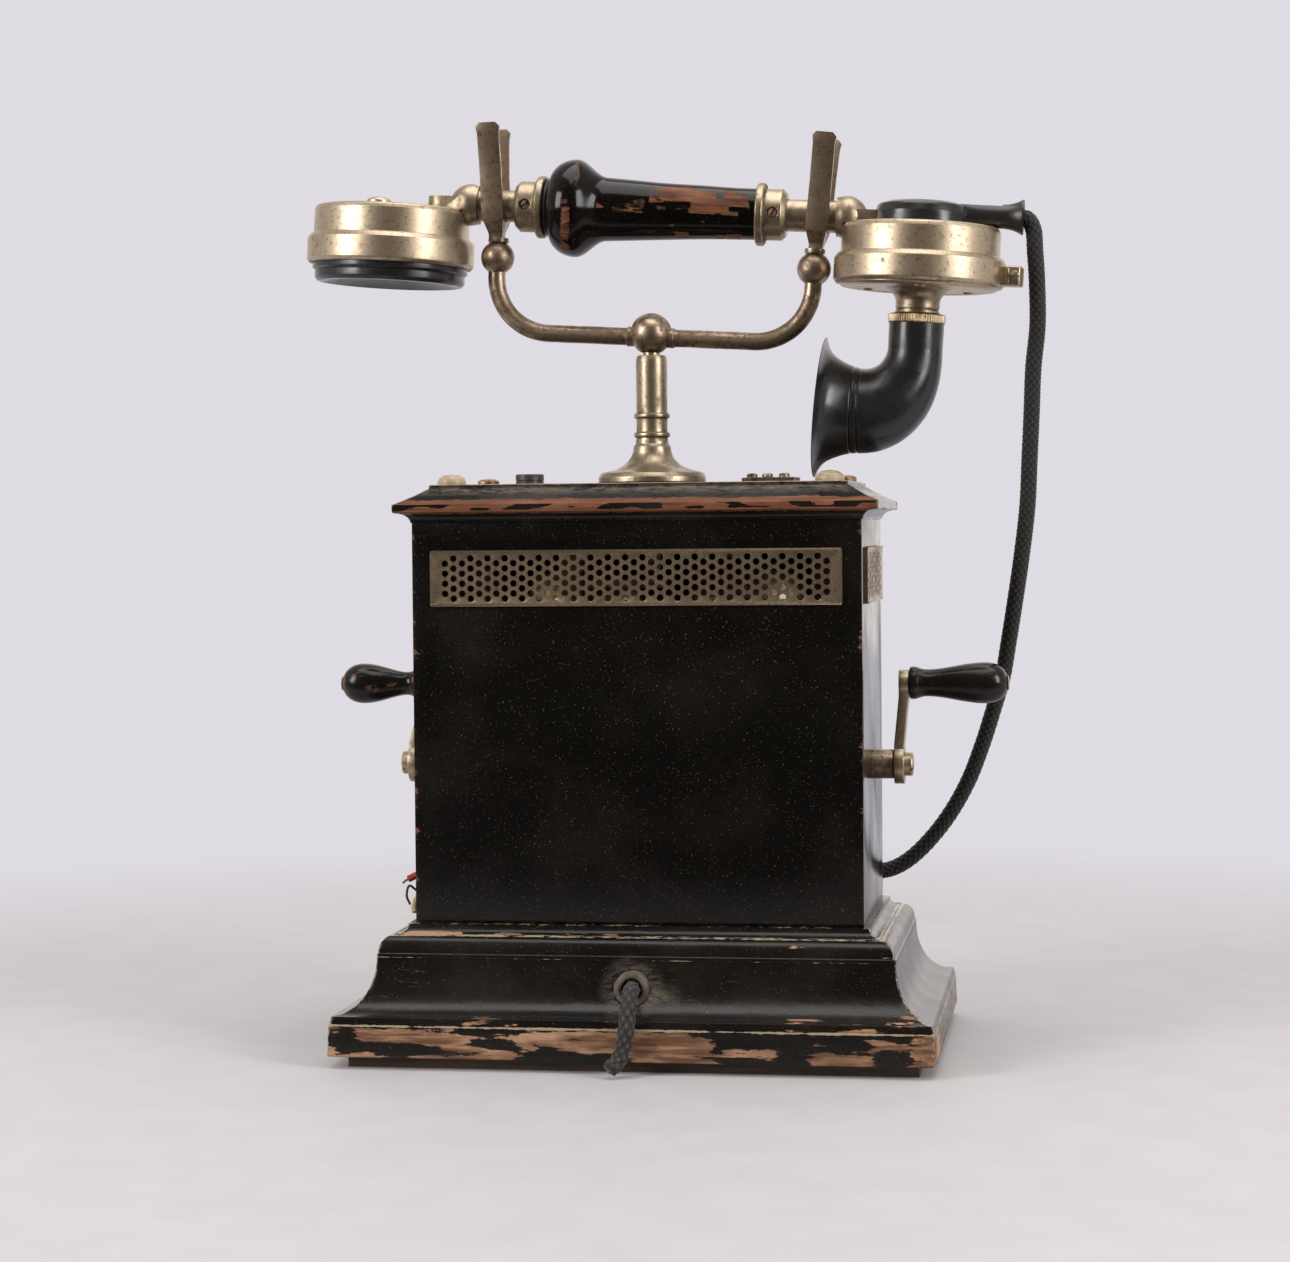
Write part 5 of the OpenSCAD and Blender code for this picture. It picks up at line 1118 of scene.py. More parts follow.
def make_post():
    z = LID_Z1
    flare = [(19.0 - (19.0 - 7.1) * sin_of(a), z + 14 - 9.3 * cos_of(a)) for a in range(0, 91, 6)]
    rings = []
    for low in (z + 17.6, z + 24.8):
        rings += [(5.9, low, 0.25), (6.75, low + 0.15, 0.4), (6.8, low + 0.95, 0.5), (6.75, low + 1.75, 0.4),
                  (5.9, low + 1.9, 0.25)]
    outer = [(3.25, z - 24), (5.0, z - 24, 0.3), (5.0, z, 0)] + [(20.0, z, 0.2), (20.4, z + 0.7, 0.5),
             (20.4, z + 2.5, 0.8), (19.5, z + 4.1, 0.9)] + as_is(flare[1:]) + \
        [(6.3, z + 15.2, 0.6)] + rings + [(5.9, z + 47.0, 0.2), (5.45, z + 48.55, 0.25), (3.9, z + 48.6, 0.2),
                                          (3.25, z + 47.6)]
    profile = dense(filleted(outer, 0.3, 4), 2.2)
    tube_part = lathe(profile, 96, uneven(3, 0.10))
    nut = lathe([(5.0, z - 18), (9.0, z - 18), (9.0, z - 14), (5.0, z - 14)], 6)

    # Darker inside the bore and along the foot's lowest edge on the lid, a painted shade. Also darker in the grooves
    # beside the rings, round the neck above the flare, and a little over the whole foot.
    def grime_and_shade(x, y, h):
        if math.hypot(x, y) <= 4:
            return 0.9
        g = 0.25 if h < z + 16 else 0.1
        for low in (z + 17.6, z + 24.8):
            g = max(g, 0.75 * peak(h - low, 0.8), 0.75 * peak(h - low - 1.9, 0.8))
        return max(g, 0.8 if h < z + 0.8 else 0, 0.5 * peak(h - z - 16, 3))

    build("post", joined(tube_part, nut), "case", "nickel", ["post_sleeve"], attributes={"grime_and_shade": grime_and_shade}, sharp=50)


def bow_path(side):
    """The middle line of one arm: along, up round the bend, and into the fork's ball."""
    line = [(side * x, 0, -1.3) for x in np.arange(0, 39.6, 1.2)]
    line += [(side * (39.6 + 21 * sin_of(a)), 0, 19.7 - 21 * cos_of(a)) for a in range(0, 91, 4)]
    line += [(side * 60.6, 0, z) for z in (20.6, 21.5, 22.3)]
    return [Vector(p) for p in line]


def make_cradle():
    parts = []
    for side in (-1, 1):
        path = bow_path(side)

        def thickness(i, angle, path=path):
            p = path[i]
            collar = 0.3 * max(0.0, 1 - max(0.0, abs(p.x) - 8.6) / 1.1) if abs(p.x) < 10 else 0.0
            return 3.3 + collar + 0.10 * noise.noise(p * 0.11 + Vector((0, math.cos(angle), math.sin(angle))) * 0.6)

        parts.append(tube(path, thickness, 40, frames_along(path, Vector((0, 1, 0)))))
        collar = filleted([(3.0, 6.4), (3.7, 6.4, 0), (3.8, 8.3, 0.2), (3.8, 8.8, 0.2), (3.45, 9.1, 0.15),
                           (3.0, 9.2)], 0.2, 3)
        parts.append(placed(placed(lathe(collar, 48), ALONG_X), Matrix.Translation((0, 0, -1.3))
                            @ Matrix.Rotation(0 if side > 0 else math.pi, 4, "Z")))
    ball = [(3.25, -2.5), (3.25, -7.15)] + \
        [(7.9 * sin_of(a), -7.9 * cos_of(a)) for a in range(27, 180, 4)] + [(0, 7.9)]
    parts.append(lathe(ball, 80, uneven(8, 0.08)))

    # Darker where the arms enter the ball, and darker on the undersides of the arms and the ball, a painted shade. A
    # rust stain sits on the front of one arm.
    def grime_and_shade(x, y, z):
        near = peak(math.hypot(x, y, z + 1.3) - 8.6, 1.6) if abs(x) > 4 else 0
        under = 0.18 if z < -2.5 else 0.0
        rust = 0.75 * peak(math.hypot(x - 22, z + 0.6), 6) if y < 0 else 0
        return max(0.22 + under, 0.55 * near, rust)

    build("cradle_arms", joined(*parts), "cradle", "nickel", ["cradle_bow"], paint="dark_nickel", at=CRADLE,
          attributes={"grime_and_shade": grime_and_shade}, sharp=60)


make_post()
make_cradle()
softened("forks", "cradle", 0.45, "dark_nickel", "cradle_forks", lambda x, y, z: 0.32 + 0.3 * wave(x, y, z, 0.2))


# ---- Hand set ----

# Worn patches of the grip: from and to along it, from and to in height as the front shows it, and how worn.
GRIP_WORN = [(-3, 13, 3.6, 8.9, 0.34), (12, 30, -0.2, 8.1, 0.36), (29, 34.3, 2.2, 6.8, 0.28),
             (0, 3, 0.8, 2.2, 0.26), (7, 12, 1.0, 2.2, 0.2), (-17, -5, -0.8, 4.8, 0.02), (-23, -21, 0.9, 2, 0.26),
             (7.5, 12.3, -9.6, -7.8, 0.3), (23, 26, -9.6, -8.4, 0.26), (27, 32, -9.4, -7.8, 0.3),
             (5.4, 6.2, -5.4, -4.8, 0.2), (-36, -33.4, -15.5, 0.5, 0.3), (-36.6, -34.4, 1.5, 4, 0.16),
             (-31.6, -30.8, 8, 18, 0.2), (17.2, 17.8, -3.6, -3, 0.2)]
GRIP_KEPT = [(22.4, 24.6, 6, 8.6), (3, 12, 2.2, 3.4), (27.5, 33.5, 1.2, 2.2)]


def grip_wear(x, y, z):
    """Where the lacquer has gone from the grip: x along it, its front towards -Y."""
    height, across = z - 0.107 * y, x + 0.155 * y
    w = 0.05 + 0.10 * wave(x * 0.08, y * 0.08, z * 0.08)
    if y < 3:
        w += max(soft_patch(across, height, p, (1.2, 0.9)) * (0.42 + p[4]) for p in GRIP_WORN)
        w -= 0.8 * max(soft_patch(across, height, p, (0.8, 0.6)) for p in GRIP_KEPT)
    else:
        w += 0.22 * max(0.0, wave(x * 0.05, y * 0.1, z * 0.1 + 4))
    return w


def make_grip():
    profile = [(10.4, -41), (10.9, -40.4)]
    profile += [(10.4 + 8.0 * sin_of(a), -31 - 10 * cos_of(a)) for a in range(12, 91, 6)]
    profile += [(12 + 6.4 * (1 + math.cos(math.pi * t)) / 2, -31 + 12 * t) for t in np.arange(0.08, 1.01, 0.08)]
    profile += [(9.7 + 2.3 * (1 - t) ** 1.6, -19 + 57.2 * t) for t in np.arange(0.04, 1.001, 0.04)]
    profile += [(9.2, 38.2), (6.06, 38.2)]
    profile = [(6.06, -41)] + [tuple(p) for p in dense([tuple(map(float, p)) for p in profile], 0.9)]
    build("grip_shell", placed(lathe(profile, 144, uneven(5, 0.22, 0.05)), ALONG_X), "handset", "grip_wood",
          ["grip"], at=HANDSET, attributes={"wear": grip_wear}, sharp=50)


# Where the grip ends on the right and on the left, from the hand set's middle.
GRIP_RIGHT, GRIP_LEFT = 38.2, 42.6


def make_ferrules():
    parts = []
    for turn, x0 in ((Matrix.Identity(4), GRIP_RIGHT), (Matrix.Rotation(math.pi, 4, "Z"), GRIP_LEFT)):
        profile = filleted([(6.06, 0), (11.2, 0, 0.4), (11.8, 0.5, 0.4), (11.8, 2.6, 0.5), (11.1, 3.2, 0.4),
                            (9.75, 3.3, 0.25), (9.6, 3.9, 0), (9.6, 9.6, 0.3), (8.0, 11.3, 0.5), (6.06, 11.4)],
                           0.3, 4)
        body = placed(lathe(dense(profile, 1.5), 96, uneven(x0, 0.05)), Matrix.Translation((x0, 0, 0)) @ ALONG_X)
        parts.append(placed(body, turn))

    # Darker in the inner corner where each ferrule's rim steps down to its sleeve.
    def grime_and_shade(x, *_):
        return 0.25 + 0.55 * peak(abs(x) - (GRIP_RIGHT if x > 0 else GRIP_LEFT) - 3.4, 0.9)

    piece = build("ferrule_bodies", joined(*parts), "handset", "nickel", ["ferrules"], attributes={"grime_and_shade": grime_and_shade},
                  sharp=40)
    screws = GRIP_RIGHT + 6.7, -GRIP_LEFT - 6.7
    cut_bores(piece, [((x, -10, 0), "Y", 2.1, 3.6) for x in screws])
    rounded_edges(piece, 0.15, 2, 50)
    place_object(piece, HANDSET)
    for side, x, paint, angle in (("right", screws[0], "copper_screw", 62), ("left", screws[1], "dark_nickel", 38)):
        part = placed(slotted_head(1.85, 1.0, 0.65, 0.25, 32), about_z(angle))
        build(side + "_ferrule_screw",
              placed(part, Matrix.Translation((x, -8.0, 0)) @ Matrix.Rotation(math.pi / 2, 4, "X")), "handset",
              "nickel", ["ferrules"], paint=paint, at=HANDSET, attributes={"grime_and_shade": 0.5}, sharp=30)


def place_object(piece, m):
    """Moves a piece's points, so that the object itself stays at the origin."""
    move = Matrix.Scale(MM, 4) @ m @ Matrix.Scale(1 / MM, 4)
    piece.data.transform(move)
    smooth(piece, 40)


def make_washer():
    profile = filleted([(6.06, -42.6), (10.2, -42.6, 0.5), (10.75, -41.8, 0.6), (10.2, -41.0, 0.5), (6.06, -41.0)],
                       0.4, 4)
    build("grip_collar", placed(lathe(profile, 80), ALONG_X), "handset", "black_fibre", ["grip_washer"], at=HANDSET,
          sharp=50)


def cup_grime_and_shade(low, high):
    """Dirt along the lower rim of a cup or ring, and a painted shade over the middle of its front half."""
    def grime_and_shade(x, y, z):
        a = math.atan2(y, x)
        g = 0.12 + 0.5 * peak(z - low, 0.9)
        g += 0.22 * max(0, math.cos(a + math.pi / 2)) * peak(z - (low + high) / 2 - 1, 6)
        return g + 0.2 * wave(x, y, z, 0.12)
    return grime_and_shade


def make_cups():
    cup = filleted([(28.1, -21.2), (29.7, -21.2, 0), (29.7, -4.4, 0.3), (29.2, -3.1, 0.7), (28.1, -2.5, 0.7),
                    (0, -2.45)], 0.4, 5)
    cup = dense(cup, 2.2)
    inner = [(0, -4.2), (26.7, -4.2), (28.1, -6.0), (28.1, -21.2)]
    ring = filleted([(29.75, -24.6), (31.0, -24.6, 0.2), (32.0, -23.4, 0.9), (32.0, -15.4, 0.4), (31.2, -14.1, 0.6),
                     (30.5, -13.5, 0.5), (29.75, -13.4)], 0.4, 5)
    ring = dense(ring, 1.6)
    for name, at, seed in (("receiver", RECEIVER, 1.0), ("transmitter", TRANSMITTER, 6.0)):
        parts = [lathe(cup + inner, 144, uneven(seed, 0.10, 0.05))]
        if name == "receiver":
            stud = filleted([(0, -3.0), (4.7, -3.0, 0), (4.7, 0.6, 0.4), (3.8, 1.3, 0.6), (2.2, 1.85, 0.4),
                             (0, 2.0)], 0.5, 4)
            parts.append(placed(lathe(stud, 48), Matrix.Translation((-5.5, 0, 0))))
        build(name + "_shell", joined(*parts), "handset", "nickel", [name + "_cup"], paint="pale_nickel", at=at,
              attributes={"grime_and_shade": cup_grime_and_shade(-13.6, -2.6)}, sharp=50)
        if name == "receiver":
            build("receiver_band", lathe(ring, 144, uneven(seed + 2, 0.10, 0.05)), "handset", "nickel",
                  ["receiver_ring"], paint="pale_nickel", at=at, attributes={"grime_and_shade": cup_grime_and_shade(-24.4, -13.6)},
                  sharp=50)
    # The transmitter's ring carries a small clamp block on its right side.
    band = joined(lathe(ring, 144, uneven(8, 0.10, 0.05)), placed(block_with_slot(), about_z(-8)))
    build("transmitter_band", band, "handset", "nickel", ["transmitter_ring"], paint="pale_nickel",
          at=TRANSMITTER, attributes={"grime_and_shade": cup_grime_and_shade(-24.4, -13.6)}, sharp=35)


def rounded_box(x0, x1, y0, y1, z0, z1, r):
    """A box with all its edges rounded."""
    bm = bmesh.new()
    bmesh.ops.create_cube(bm, size=1)
    for v in bm.verts:
        v.co = Vector(((x0 + x1) / 2 + v.co.x * (x1 - x0), (y0 + y1) / 2 + v.co.y * (y1 - y0),
                       (z0 + z1) / 2 + v.co.z * (z1 - z0)))
    bmesh.ops.bevel(bm, geom=list(bm.edges), offset=r, segments=3, affect="EDGES", profile=0.5)
    bm.verts.ensure_lookup_table()
    points = [tuple(v.co) for v in bm.verts]
    faces = [[v.index for v in f.verts] for f in bm.faces]
    bm.free()
    return points, faces


def block_with_slot():
    z0, z1 = -24.0, -16.6
    parts = [rounded_box(31.0, 38.7, -4.5, 4.5, z0, z1, 0.7),
             rounded_box(33.4, 34.6, -4.75, 4.75, z0 + 0.8, z1 - 0.8, 0.3)]
    head = placed(slotted_head(1.9, 0.7, 0.6, 0.3, 28), about_z(25))
    parts.append(placed(head, Matrix.Translation((36.6, -4.4, (z0 + z1) / 2))
                        @ Matrix.Rotation(math.pi / 2, 4, "X")))
    return joined(*parts)


def make_earpiece():
    z = -24.6
    dish = [(5 + 20.7 * sin_of(a), z - 6.9 + 4.5 * (1 - sin_of(a) ** 2)) for a in range(0, 91, 6)]
    outer = [(27.7, z + 3), (29.6, z + 3, 0), (29.7, z - 0.1, 0), (29.7, z - 1.9, 0.5), (28.9, z - 2.5, 0.2),
             (28.6, z - 2.7, 0.1), (28.75, z - 3.0, 0.1), (28.75, z - 5.4, 0.5), (27.7, z - 6.75, 0.8)]
    profile = filleted(outer + as_is(reversed(dish)) + [(5, z + 1.4, 0), (27.7, z + 1.4)], 0.3, 4)
    build("ear_cap", lathe(dense(profile, 1.8), 144, uneven(4, 0.05)), "handset", "ebonite", ["earpiece"],
          at=RECEIVER, sharp=40)


def make_transmitter_cap():
    """A turned hood with an arm that grows out of its side and ends in a trumpet mouth for the cord."""
    hood = filleted([(0, -2.6), (17.7, -2.6, 0), (17.9, -1.6, 0.5), (17.7, 2.2, 1.0), (16.6, 5.2, 1.8),
                     (13.2, 6.35, 2.2), (0, 6.55)], 1.0, 6)
    hood = lathe(dense(hood, 1.2), 96)
    mouth = []
    for x in np.arange(9, 37.61, 0.55):
        root = 1.6 * math.exp(-max(0, x - 15.5) / 4.5)
        flare = 2.55 * max(0.0, (x - 28.0) / 9.6) ** 2.6
        mouth.append((4.4 + root + flare - (0.35 if x > 37.2 else 0), x))
    mouth = [(0.0, 9.0)] + mouth + [(6.6, 37.75), (5.6, 37.6), (4.3, 36.6), (3.75, 34.6), (3.5, 33.5), (0, 33.5)]
    arm = placed(placed(lathe(mouth, 64), ALONG_X), Matrix.Translation((0, 0, 2.1)))
    arm = ([(x, y, min(max(z, -2.6), 5.9) if math.hypot(x, y) < 29.9 else z) for x, y, z in arm[0]], arm[1])
    build("transmitter_hood", joined(hood, arm), "handset", "ebonite", ["transmitter_cap"], at=TRANSMITTER,
          sharp=45)


def make_neck():
    plate = filleted([(0, -25.7), (24.0, -25.7, 0), (24.4, -25.95, 0.2), (27.2, -25.95, 0.2), (27.6, -25.7, 0.2),
                      (29.0, -25.7, 0.5), (29.65, -25.0, 0.4), (29.65, -21.2, 0), (20, -21.2, 0), (20, -13.2, 0.5),
                      (0, -13.2)], 0.3, 3)
    parts = [lathe(dense(plate, 2.5), 120, uneven(2, 0.05))]
    for a in (35, 155, 275):
        part = placed(slotted_head(1.9, 0.6, 0.55, 0.25, 24), about_z(a * 2.3))
        parts.append(placed(part, Matrix.Translation((21.6 * cos_of(a), 21.6 * sin_of(a), -25.65))
                            @ Matrix.Rotation(math.pi, 4, "X")))
    build("capsule_plate", joined(*parts), "handset", "nickel", ["carbon_capsule"], paint="pale_nickel",
          at=TRANSMITTER, attributes={"grime_and_shade": 0.3}, sharp=35)
    flare = [(8.25 + 4.0 * (1 - t) ** 2.6, -25.9 - 5.4 * t) for t in np.arange(0, 1.01, 0.1)]
    neck = [(8.25, -33.2, 0.1), (7.75, -33.4, 0.1), (7.75, -33.75, 0.1), (8.35, -33.95, 0.2), (8.35, -34.9, 0.2),
            (7.7, -35.1, 0), (7.7, -38.8, 0), (5.7, -38.8, 0), (5.7, -29.0, 0), (0, -29.0)]
    profile = filleted([(0, -25.6), (12.6, -25.6, 0.1)] + as_is(flare) + neck, 0.2, 3)
    # The stem is darker in its groove.
    build("mouthpiece_stem", lathe(dense(profile, 1.0), 96), mouth_body("mouthpiece_neck"), "nickel",
          ["mouthpiece_neck"], at=TRANSMITTER, sharp=40,
          attributes={"grime_and_shade": lambda x, y, z: 0.55 * peak(z + 33.6, 0.6) + 0.1})
    knurls = 64

    def teeth(a, r, z):
        if r < 10.3 or not -38.45 < z < -35.5:
            return 0.0
        return -0.30 * (1 - abs(math.cos(a * knurls / 2)) ** 0.6)

    profile = dense(filleted([(7.75, -38.8), (10.1, -38.8, 0.1), (10.8, -38.3, 0.2), (10.8, -35.7, 0.2),
                              (10.1, -35.2, 0.1), (7.75, -35.2)], 0.2, 3), 0.6)
    # The collar is darker between its knurls.
    build("knurled_collar", lathe(profile, knurls * 8, teeth), mouth_body("knurled_ring"), "brass",
          ["knurled_ring"], at=TRANSMITTER, sharp=60,
          attributes={"grime_and_shade": lambda x, y, z: 0.7 if 9.9 < math.hypot(x, y) < 10.62 else 0.2})


def mouth_body(node):
    """The body that a CAD node belongs to."""
    return next(name for name, nodes in frame["record"]["behaviour"]["bodies"].items() if node in nodes)


HORN_R, THROAT_R, LIP_R, HORN_WALL = 10.3, 15.9, 26.4, 1.3
HORN_TOP, HORN_DROP, HORN_RUN, HORN_LEAN = -38.8, 9.6, 15.6, 2.4
HORN_BEND = (18.8, 23.7)


def eased(t):
    t = max(0.0, min(1.0, t))
    return t * t * (3 - 2 * t)


def horn_ring(u):
    """Middle, heading and radius of the horn: u is 0 to 1 down the drop, to 2 in the bend, to 3 in the run."""
    bend = 90 * max(0.0, min(1.0, u - 1))
    a = math.radians(bend)
    reach = HORN_BEND[0] + (HORN_BEND[1] - HORN_BEND[0]) * eased(u - 1)
    v = max(0.0, u - 2)
    run, lean = HORN_RUN * v, math.radians(HORN_LEAN)
    x = -HORN_BEND[0] + reach * math.cos(a) - run * math.cos(lean)
    z = -HORN_DROP * min(u, 1) - reach * math.sin(a) + run * math.sin(lean)
    inner = HORN_BEND[0] - HORN_R + (HORN_BEND[1] - THROAT_R - HORN_BEND[0] + HORN_R) * bend / 90
    r = reach - inner + (LIP_R - THROAT_R) * (0.62 * v ** 1.8 + 0.38 * v ** 12)
    return x, z, math.radians(bend + HORN_LEAN * v), r


def make_horn():
    sides = 128
    stations = [(u, 0.0) for u in np.arange(0, 1, 0.12)] + [(u, 0.0) for u in np.arange(1, 2, 0.025)]
    stations += [(u, 0.0) for u in np.arange(2, 2.9, 0.02)] + [(u, 0.0) for u in np.arange(2.9, 2.995, 0.008)]
    for groove in (2.06, 2.22):
        stations = [s for s in stations if abs(s[0] - groove) > 0.024]
        stations += [(groove + side, depth) for side, depth in
                     ((-0.024, 0), (-0.013, 0.10), (-0.007, 0.34), (0.007, 0.34), (0.013, 0.10), (0.024, 0))]
    stations = sorted(set((round(float(u), 4), d) for u, d in stations))
    rows = [(u, horn_ring(u)[3] - depth) for u, depth in stations]
    rows += [(2.998, LIP_R - 0.15), (3.006, LIP_R - 0.05), (3.013, LIP_R - 0.35), (3.006, LIP_R - 0.8)]
    rows += [(u, horn_ring(u)[3] - HORN_WALL) for u, d in reversed(stations) if u < 2.985]
    points = []
    for u, r in rows:
        x, z, a, _ = horn_ring(u)
        for j in range(sides):
            b = 2 * math.pi * j / sides
            q = r * math.cos(b)
            points.append((x + q * math.cos(a), r * math.sin(b), HORN_TOP + z - q * math.sin(a)))
    faces = []
    for i in range(len(rows)):
        a, b = i * sides, (i + 1) % len(rows) * sides
        faces += strip(range(a, a + sides), range(b, b + sides))
    build("speaking_horn", (points, faces), mouth_body("horn"), "ebonite", ["horn"], at=TRANSMITTER, sharp=60)


make_grip()
make_ferrules()
make_washer()
make_cups()
make_earpiece()
make_transmitter_cap()
make_neck()
make_horn()
softened("elbows", "handset", 0.9, None, "elbow_castings", lambda x, y, z: 0.18 + 0.2 * wave(x, y, z, 0.15))


# ---- Cranks ----

def make_handle(name, body, node, sign, x0, length, flange, root):
    belly, collar = 7.7, 5.6
    bulb = length - belly * 1.05
    sweep = [(root + (belly - root) * (1 - math.cos(math.pi * t)) / 2 + (collar - root) * math.exp(-t * 14),
              flange + 0.6 + (bulb - flange - 0.6) * t) for t in np.arange(0, 1.01, 0.025)]
    tip = [(belly * cos_of(a) ** 0.8, bulb + (length - bulb) * sin_of(a)) for a in range(6, 78, 6)]
    profile = [(2.06, 0)] + filleted([(5.6, 0), (6.1, 0.4, 0.4), (6.15, flange * 0.5, 0.6), (5.9, flange, 0.4),
                                      (5.7, flange + 0.2, 0.1)] + as_is(sweep + tip)
                                     + [(2.8, length, 0.4), (2.06, length)], 0.3, 4)
    turn = Matrix.Translation((sign * x0, 0, PIN_Z)) @ (ALONG_X if sign > 0 else BACK_X)
    local = lathe(dense(profile, 0.8), 96, uneven(x0, 0.12))
    wear = []
    for x, y, z in local[0]:
        r = math.hypot(x, y)
        w = 0.20 + 0.16 * wave(x, y, z, 0.12)
        w += 0.30 * peak(z - flange - 0.3, 1.2) + 0.22 * peak(z - length + 1.2, 2.2)
        w += 0.12 if z < flange else 0
        patch = noise.noise(Vector((x, y, z * 0.7)) * 0.23 + Vector((sign * 3.0, 0, 5)))
        w += max(0.0, patch - 0.05) * (0.3 - 0.45 * sign)
        wear.append(w if r > 2.2 else 0)
    build(name, placed(local, turn), body, "handle_wood", [node], attributes={"wear": wear}, sharp=45)


def make_crank_fittings():
    parts = []
    for sign, jog, length in ((1, 1.8, 36.6), (-1, -4.9, 31.2)):
        turn = ALONG_X if sign > 0 else BACK_X
        end = 95.0 + jog + 0.3 + length
        pin = filleted([(0, 91.3 + jog), (2.0, 91.3 + jog, 0), (2.0, end + 0.05, 0), (2.7, end + 0.08, 0.05),
                        (2.8, end + 0.25, 0.15), (1.7, end + 0.55, 0.3), (0, end + 0.6)], 0.2, 4)
        parts.append(placed(placed(lathe(pin, 40), turn), Matrix.Translation((0, 0, PIN_Z))))
        head = placed(slotted_head(4.4, 3.0, 1.3, 0.5, 44), about_z(28 * sign + 90))
        parts.append(placed(placed(head, turn), Matrix.Translation((sign * 95.0, 0, SHAFT_Z))))
    build("crank_hardware", joined(*parts), "crank", "nickel", ["crank_pins"], paint="pale_nickel", sharp=32,
          attributes={"grime_and_shade": lambda x, y, z: 0.35 if abs(x) > 100 else 0.2})


make_handle("right_handle_grip", "right_handle", "right_handle", 1, 97.1, 36.6, 3.0, 4.8)
make_handle("left_handle_grip", "left_handle", "left_handle", -1, 90.4, 31.2, 2.2, 4.0)
make_crank_fittings()
softened("crank_arms", "crank", 0.5, "pale_nickel", "crank_levers",
         lambda x, y, z: 0.2 + 0.25 * wave(x, y, z, 0.2))
softened("shaft_bushes", "case", 0.35, "dark_nickel", "bushes", lambda x, y, z: 0.4)


# ---- Wire ends at the back corner ----

def make_wires():
    corner = (-HALF_W, -HALF_D, CASE_Z0)
    red = [(1, 16, 15.8), (-3, 15.5, 15.8), (-6.5, 14.5, 14.3)]
    black = [(1, 16, 7.8), (-3, 15.5, 9.8), (-6, 15, 11.8), (-7, 14.5, 8.3), (-5.6, 14, 4.8)]
    cream = [(1, 20, 7.8), (-3.5, 19.5, 7.3), (-5, 18.5, 3.8), (-4.6, 17.5, 1.4)]
    for name, route, radius, paint in (("red_wire", red, 1.3, "red_cotton"),
                                       ("black_wire", black, 0.45, "black_fibre"),
                                       ("cream_wire", cream, 1.2, "wire_cotton")):
        path = smooth_path([tuple(a + b for a, b in zip(corner, p)) for p in route], 0.35)
        last = len(path) - 1

        def skin(i, angle, radius=radius, last=last):
            twist = math.cos(5 * angle + i * 0.5)
            cap = 0.75 if i == last else 1.0
            return cap * radius * (1 + 0.06 * twist)

        build(name, tube(path, skin, 20), "case", "wire_cotton", ["wire_ends"], paint=paint, sharp=60)
    # The bare end of the red wire's core.
    tip = [Vector(corner) + Vector(p) for p in ((-6.0, 14.7, 14.5), (-7.4, 14.3, 13.8), (-8.3, 13.9, 12.9))]
    build("red_wire_core", tube(smooth_path([tuple(p) for p in tip], 0.3), 0.45, 12), "case", "wire_cotton",
          ["wire_ends"], paint="copper_screw", sharp=60)


make_wires()


# ---- The CAD nodes that stay ----

def dress_the_rest():
    slots = {part["node"]: part["material_slot"] for part in frame["record"]["subparts"]}
    for name, obj in frame["nodes"].items():
        obj.data.materials.clear()
        obj.data.materials.append(MATERIALS[slots[name]])


dress_the_rest()


# ---- Floor, world and lamps ----

PALE = (0.735, 0.712, 0.765)


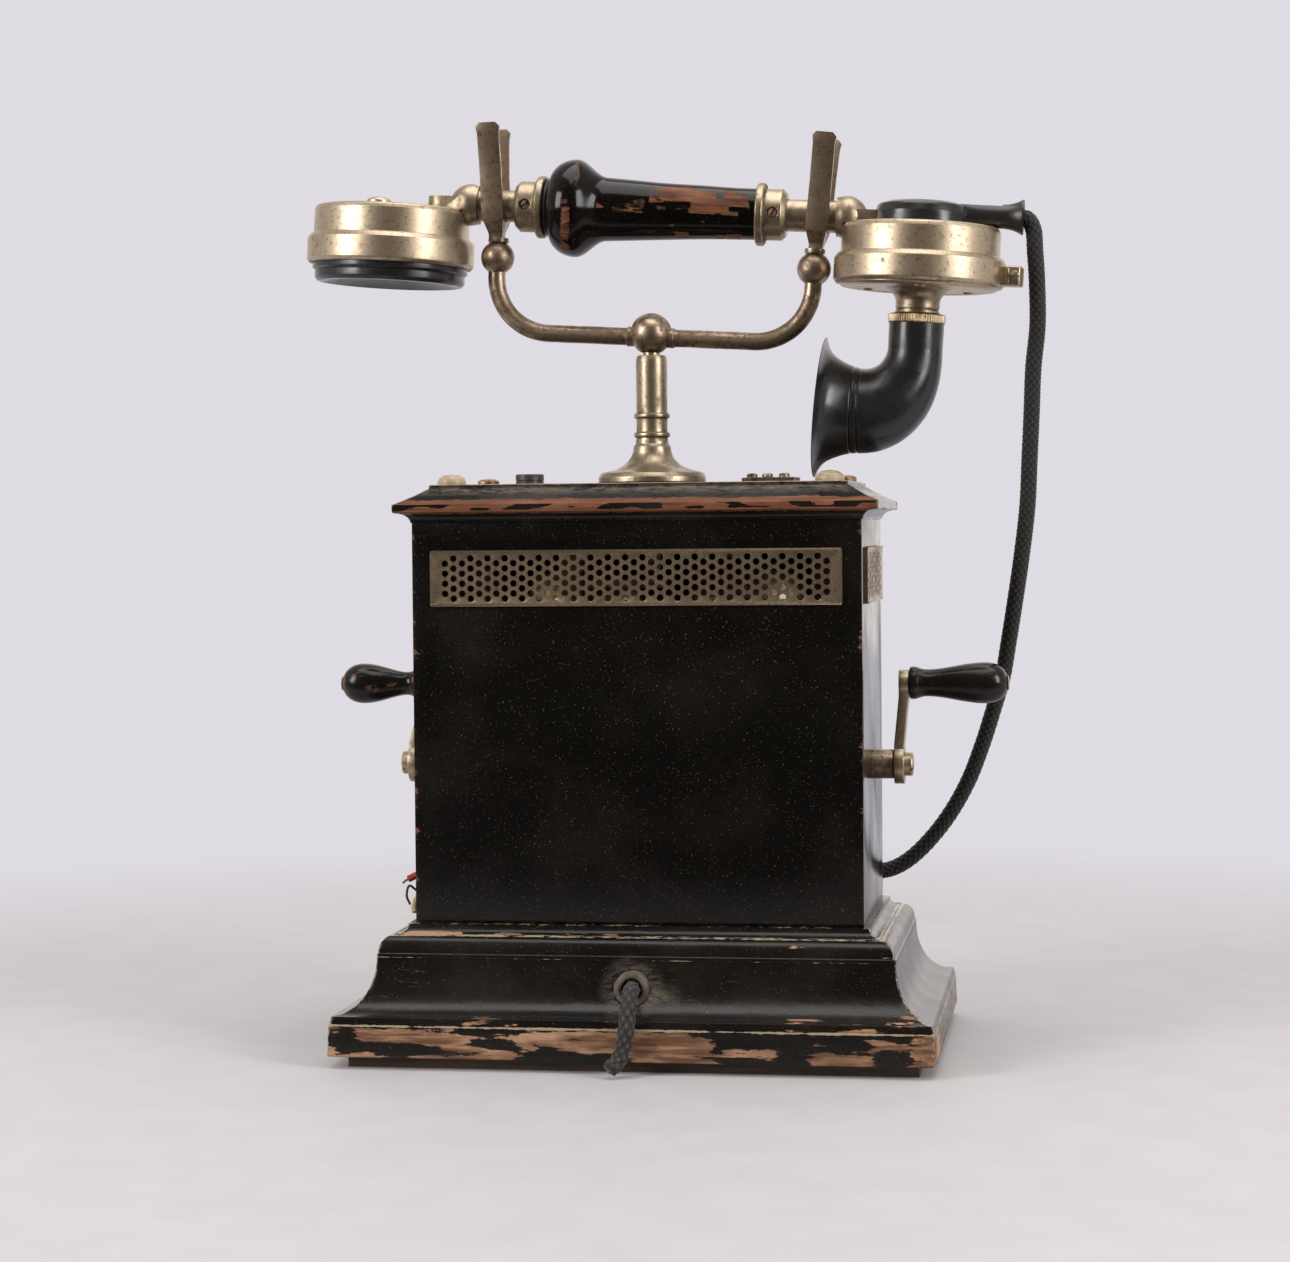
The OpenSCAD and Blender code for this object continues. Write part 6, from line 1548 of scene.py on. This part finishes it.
def make_floor():
    size, cells = 6.0, 24
    mesh = bpy.data.meshes.new("floor")
    points = [(size * (i / cells - 0.5) * 2, size * (j / cells - 0.5) * 2, 0)
              for i in range(cells + 1) for j in range(cells + 1)]
    faces = [[i * (cells + 1) + j, (i + 1) * (cells + 1) + j, (i + 1) * (cells + 1) + j + 1, i * (cells + 1) + j + 1]
             for i in range(cells) for j in range(cells)]
    mesh.from_pydata(points, [], faces)
    floor = linked("floor", mesh)
    p = Paint("floor")
    length = p.node("ShaderNodeVectorMath", operation="LENGTH")
    p.put(length.inputs[0], p.where)
    far = p.step(length.outputs["Value"], 0.28, 0.75)
    paper = p.noise(40, 3, 0.5)
    shaded = p.node("ShaderNodeBsdfPrincipled")
    sheet = p.mix(p.step(paper, 0.3, 0.7), (0.46, 0.44, 0.447), (0.48, 0.46, 0.467))
    # Mirror rays find the table dark in front of the object, so polished faces reflect a dim room.
    beyond = p.step(p.mul(p.axes()[1], -1.0), 0.13, 0.26)
    rays = p.node("ShaderNodeLightPath")
    hidden = p.mul(beyond, rays.outputs["Is Glossy Ray"])
    sheet = p.mix(hidden, sheet, (0.04, 0.032, 0.026))
    p.put(shaded.inputs["Base Color"], sheet)
    shaded.inputs["Roughness"].default_value = 0.7
    shaded.inputs["Specular IOR Level"].default_value = 0.2
    glow = p.node("ShaderNodeEmission")
    glow.inputs["Color"].default_value = (*PALE, 1)
    mixed = p.node("ShaderNodeMixShader")
    p.put(mixed.inputs[0], p.mul(far, p.sub(1.0, hidden)))
    p.put(mixed.inputs[1], shaded.outputs[0])
    p.put(mixed.inputs[2], glow.outputs[0])
    p.put(p.out.inputs["Surface"], mixed.outputs[0])
    mesh.materials.append(p.material)


def make_world():
    world = bpy.data.worlds.new("studio")
    bpy.context.scene.world = world
    world.use_nodes = True
    n = Nodes(world.node_tree)
    where = n.node("ShaderNodeTexCoord")
    split = n.node("ShaderNodeSeparateXYZ")
    n.put(split.inputs[0], where.outputs["Generated"])
    # Dim behind the camera, bright at the sides, above and behind the object.
    tint = n.mix(n.step(split.outputs["Y"], -0.85, -0.1), (0.11, 0.088, 0.07), (0.58, 0.55, 0.54))
    behind = n.step(split.outputs["Y"], 0.45, 0.95, 1.0, 2.1)
    ambient, backdrop = n.node("ShaderNodeBackground"), n.node("ShaderNodeBackground")
    n.put(ambient.inputs["Color"], tint)
    n.put(ambient.inputs["Strength"], behind)
    n.put(backdrop.inputs["Color"], PALE)
    rays = n.node("ShaderNodeLightPath")
    mix = n.node("ShaderNodeMixShader")
    out = n.node("ShaderNodeOutputWorld")
    for i, socket in enumerate((rays.outputs["Is Camera Ray"], ambient.outputs[0], backdrop.outputs[0])):
        n.put(mix.inputs[i], socket)
    n.put(out.inputs["Surface"], mix.outputs[0])


def lamp(name, place, target, size, power):
    data = bpy.data.lights.new(name, "AREA")
    data.shape = "RECTANGLE"
    data.size, data.size_y = size
    data.energy = power
    obj = linked(name, data)
    obj.location = place
    obj.rotation_euler = (Vector(target) - Vector(place)).to_track_quat("-Z", "Y").to_euler()


bpy.context.scene.view_settings.view_transform = "Standard"
make_floor()
make_world()
lamp("left_window", (-1.25, -1.05, 0.75), (0, 0, 0.2), (0.6, 0.9), 20)
lamp("right_window", (1.35, -0.75, 0.7), (0, 0, 0.2), (0.5, 0.9), 16)
lamp("overhead", (0.1, -0.1, 1.5), (0, 0, 0.1), (1.2, 1.2), 14)
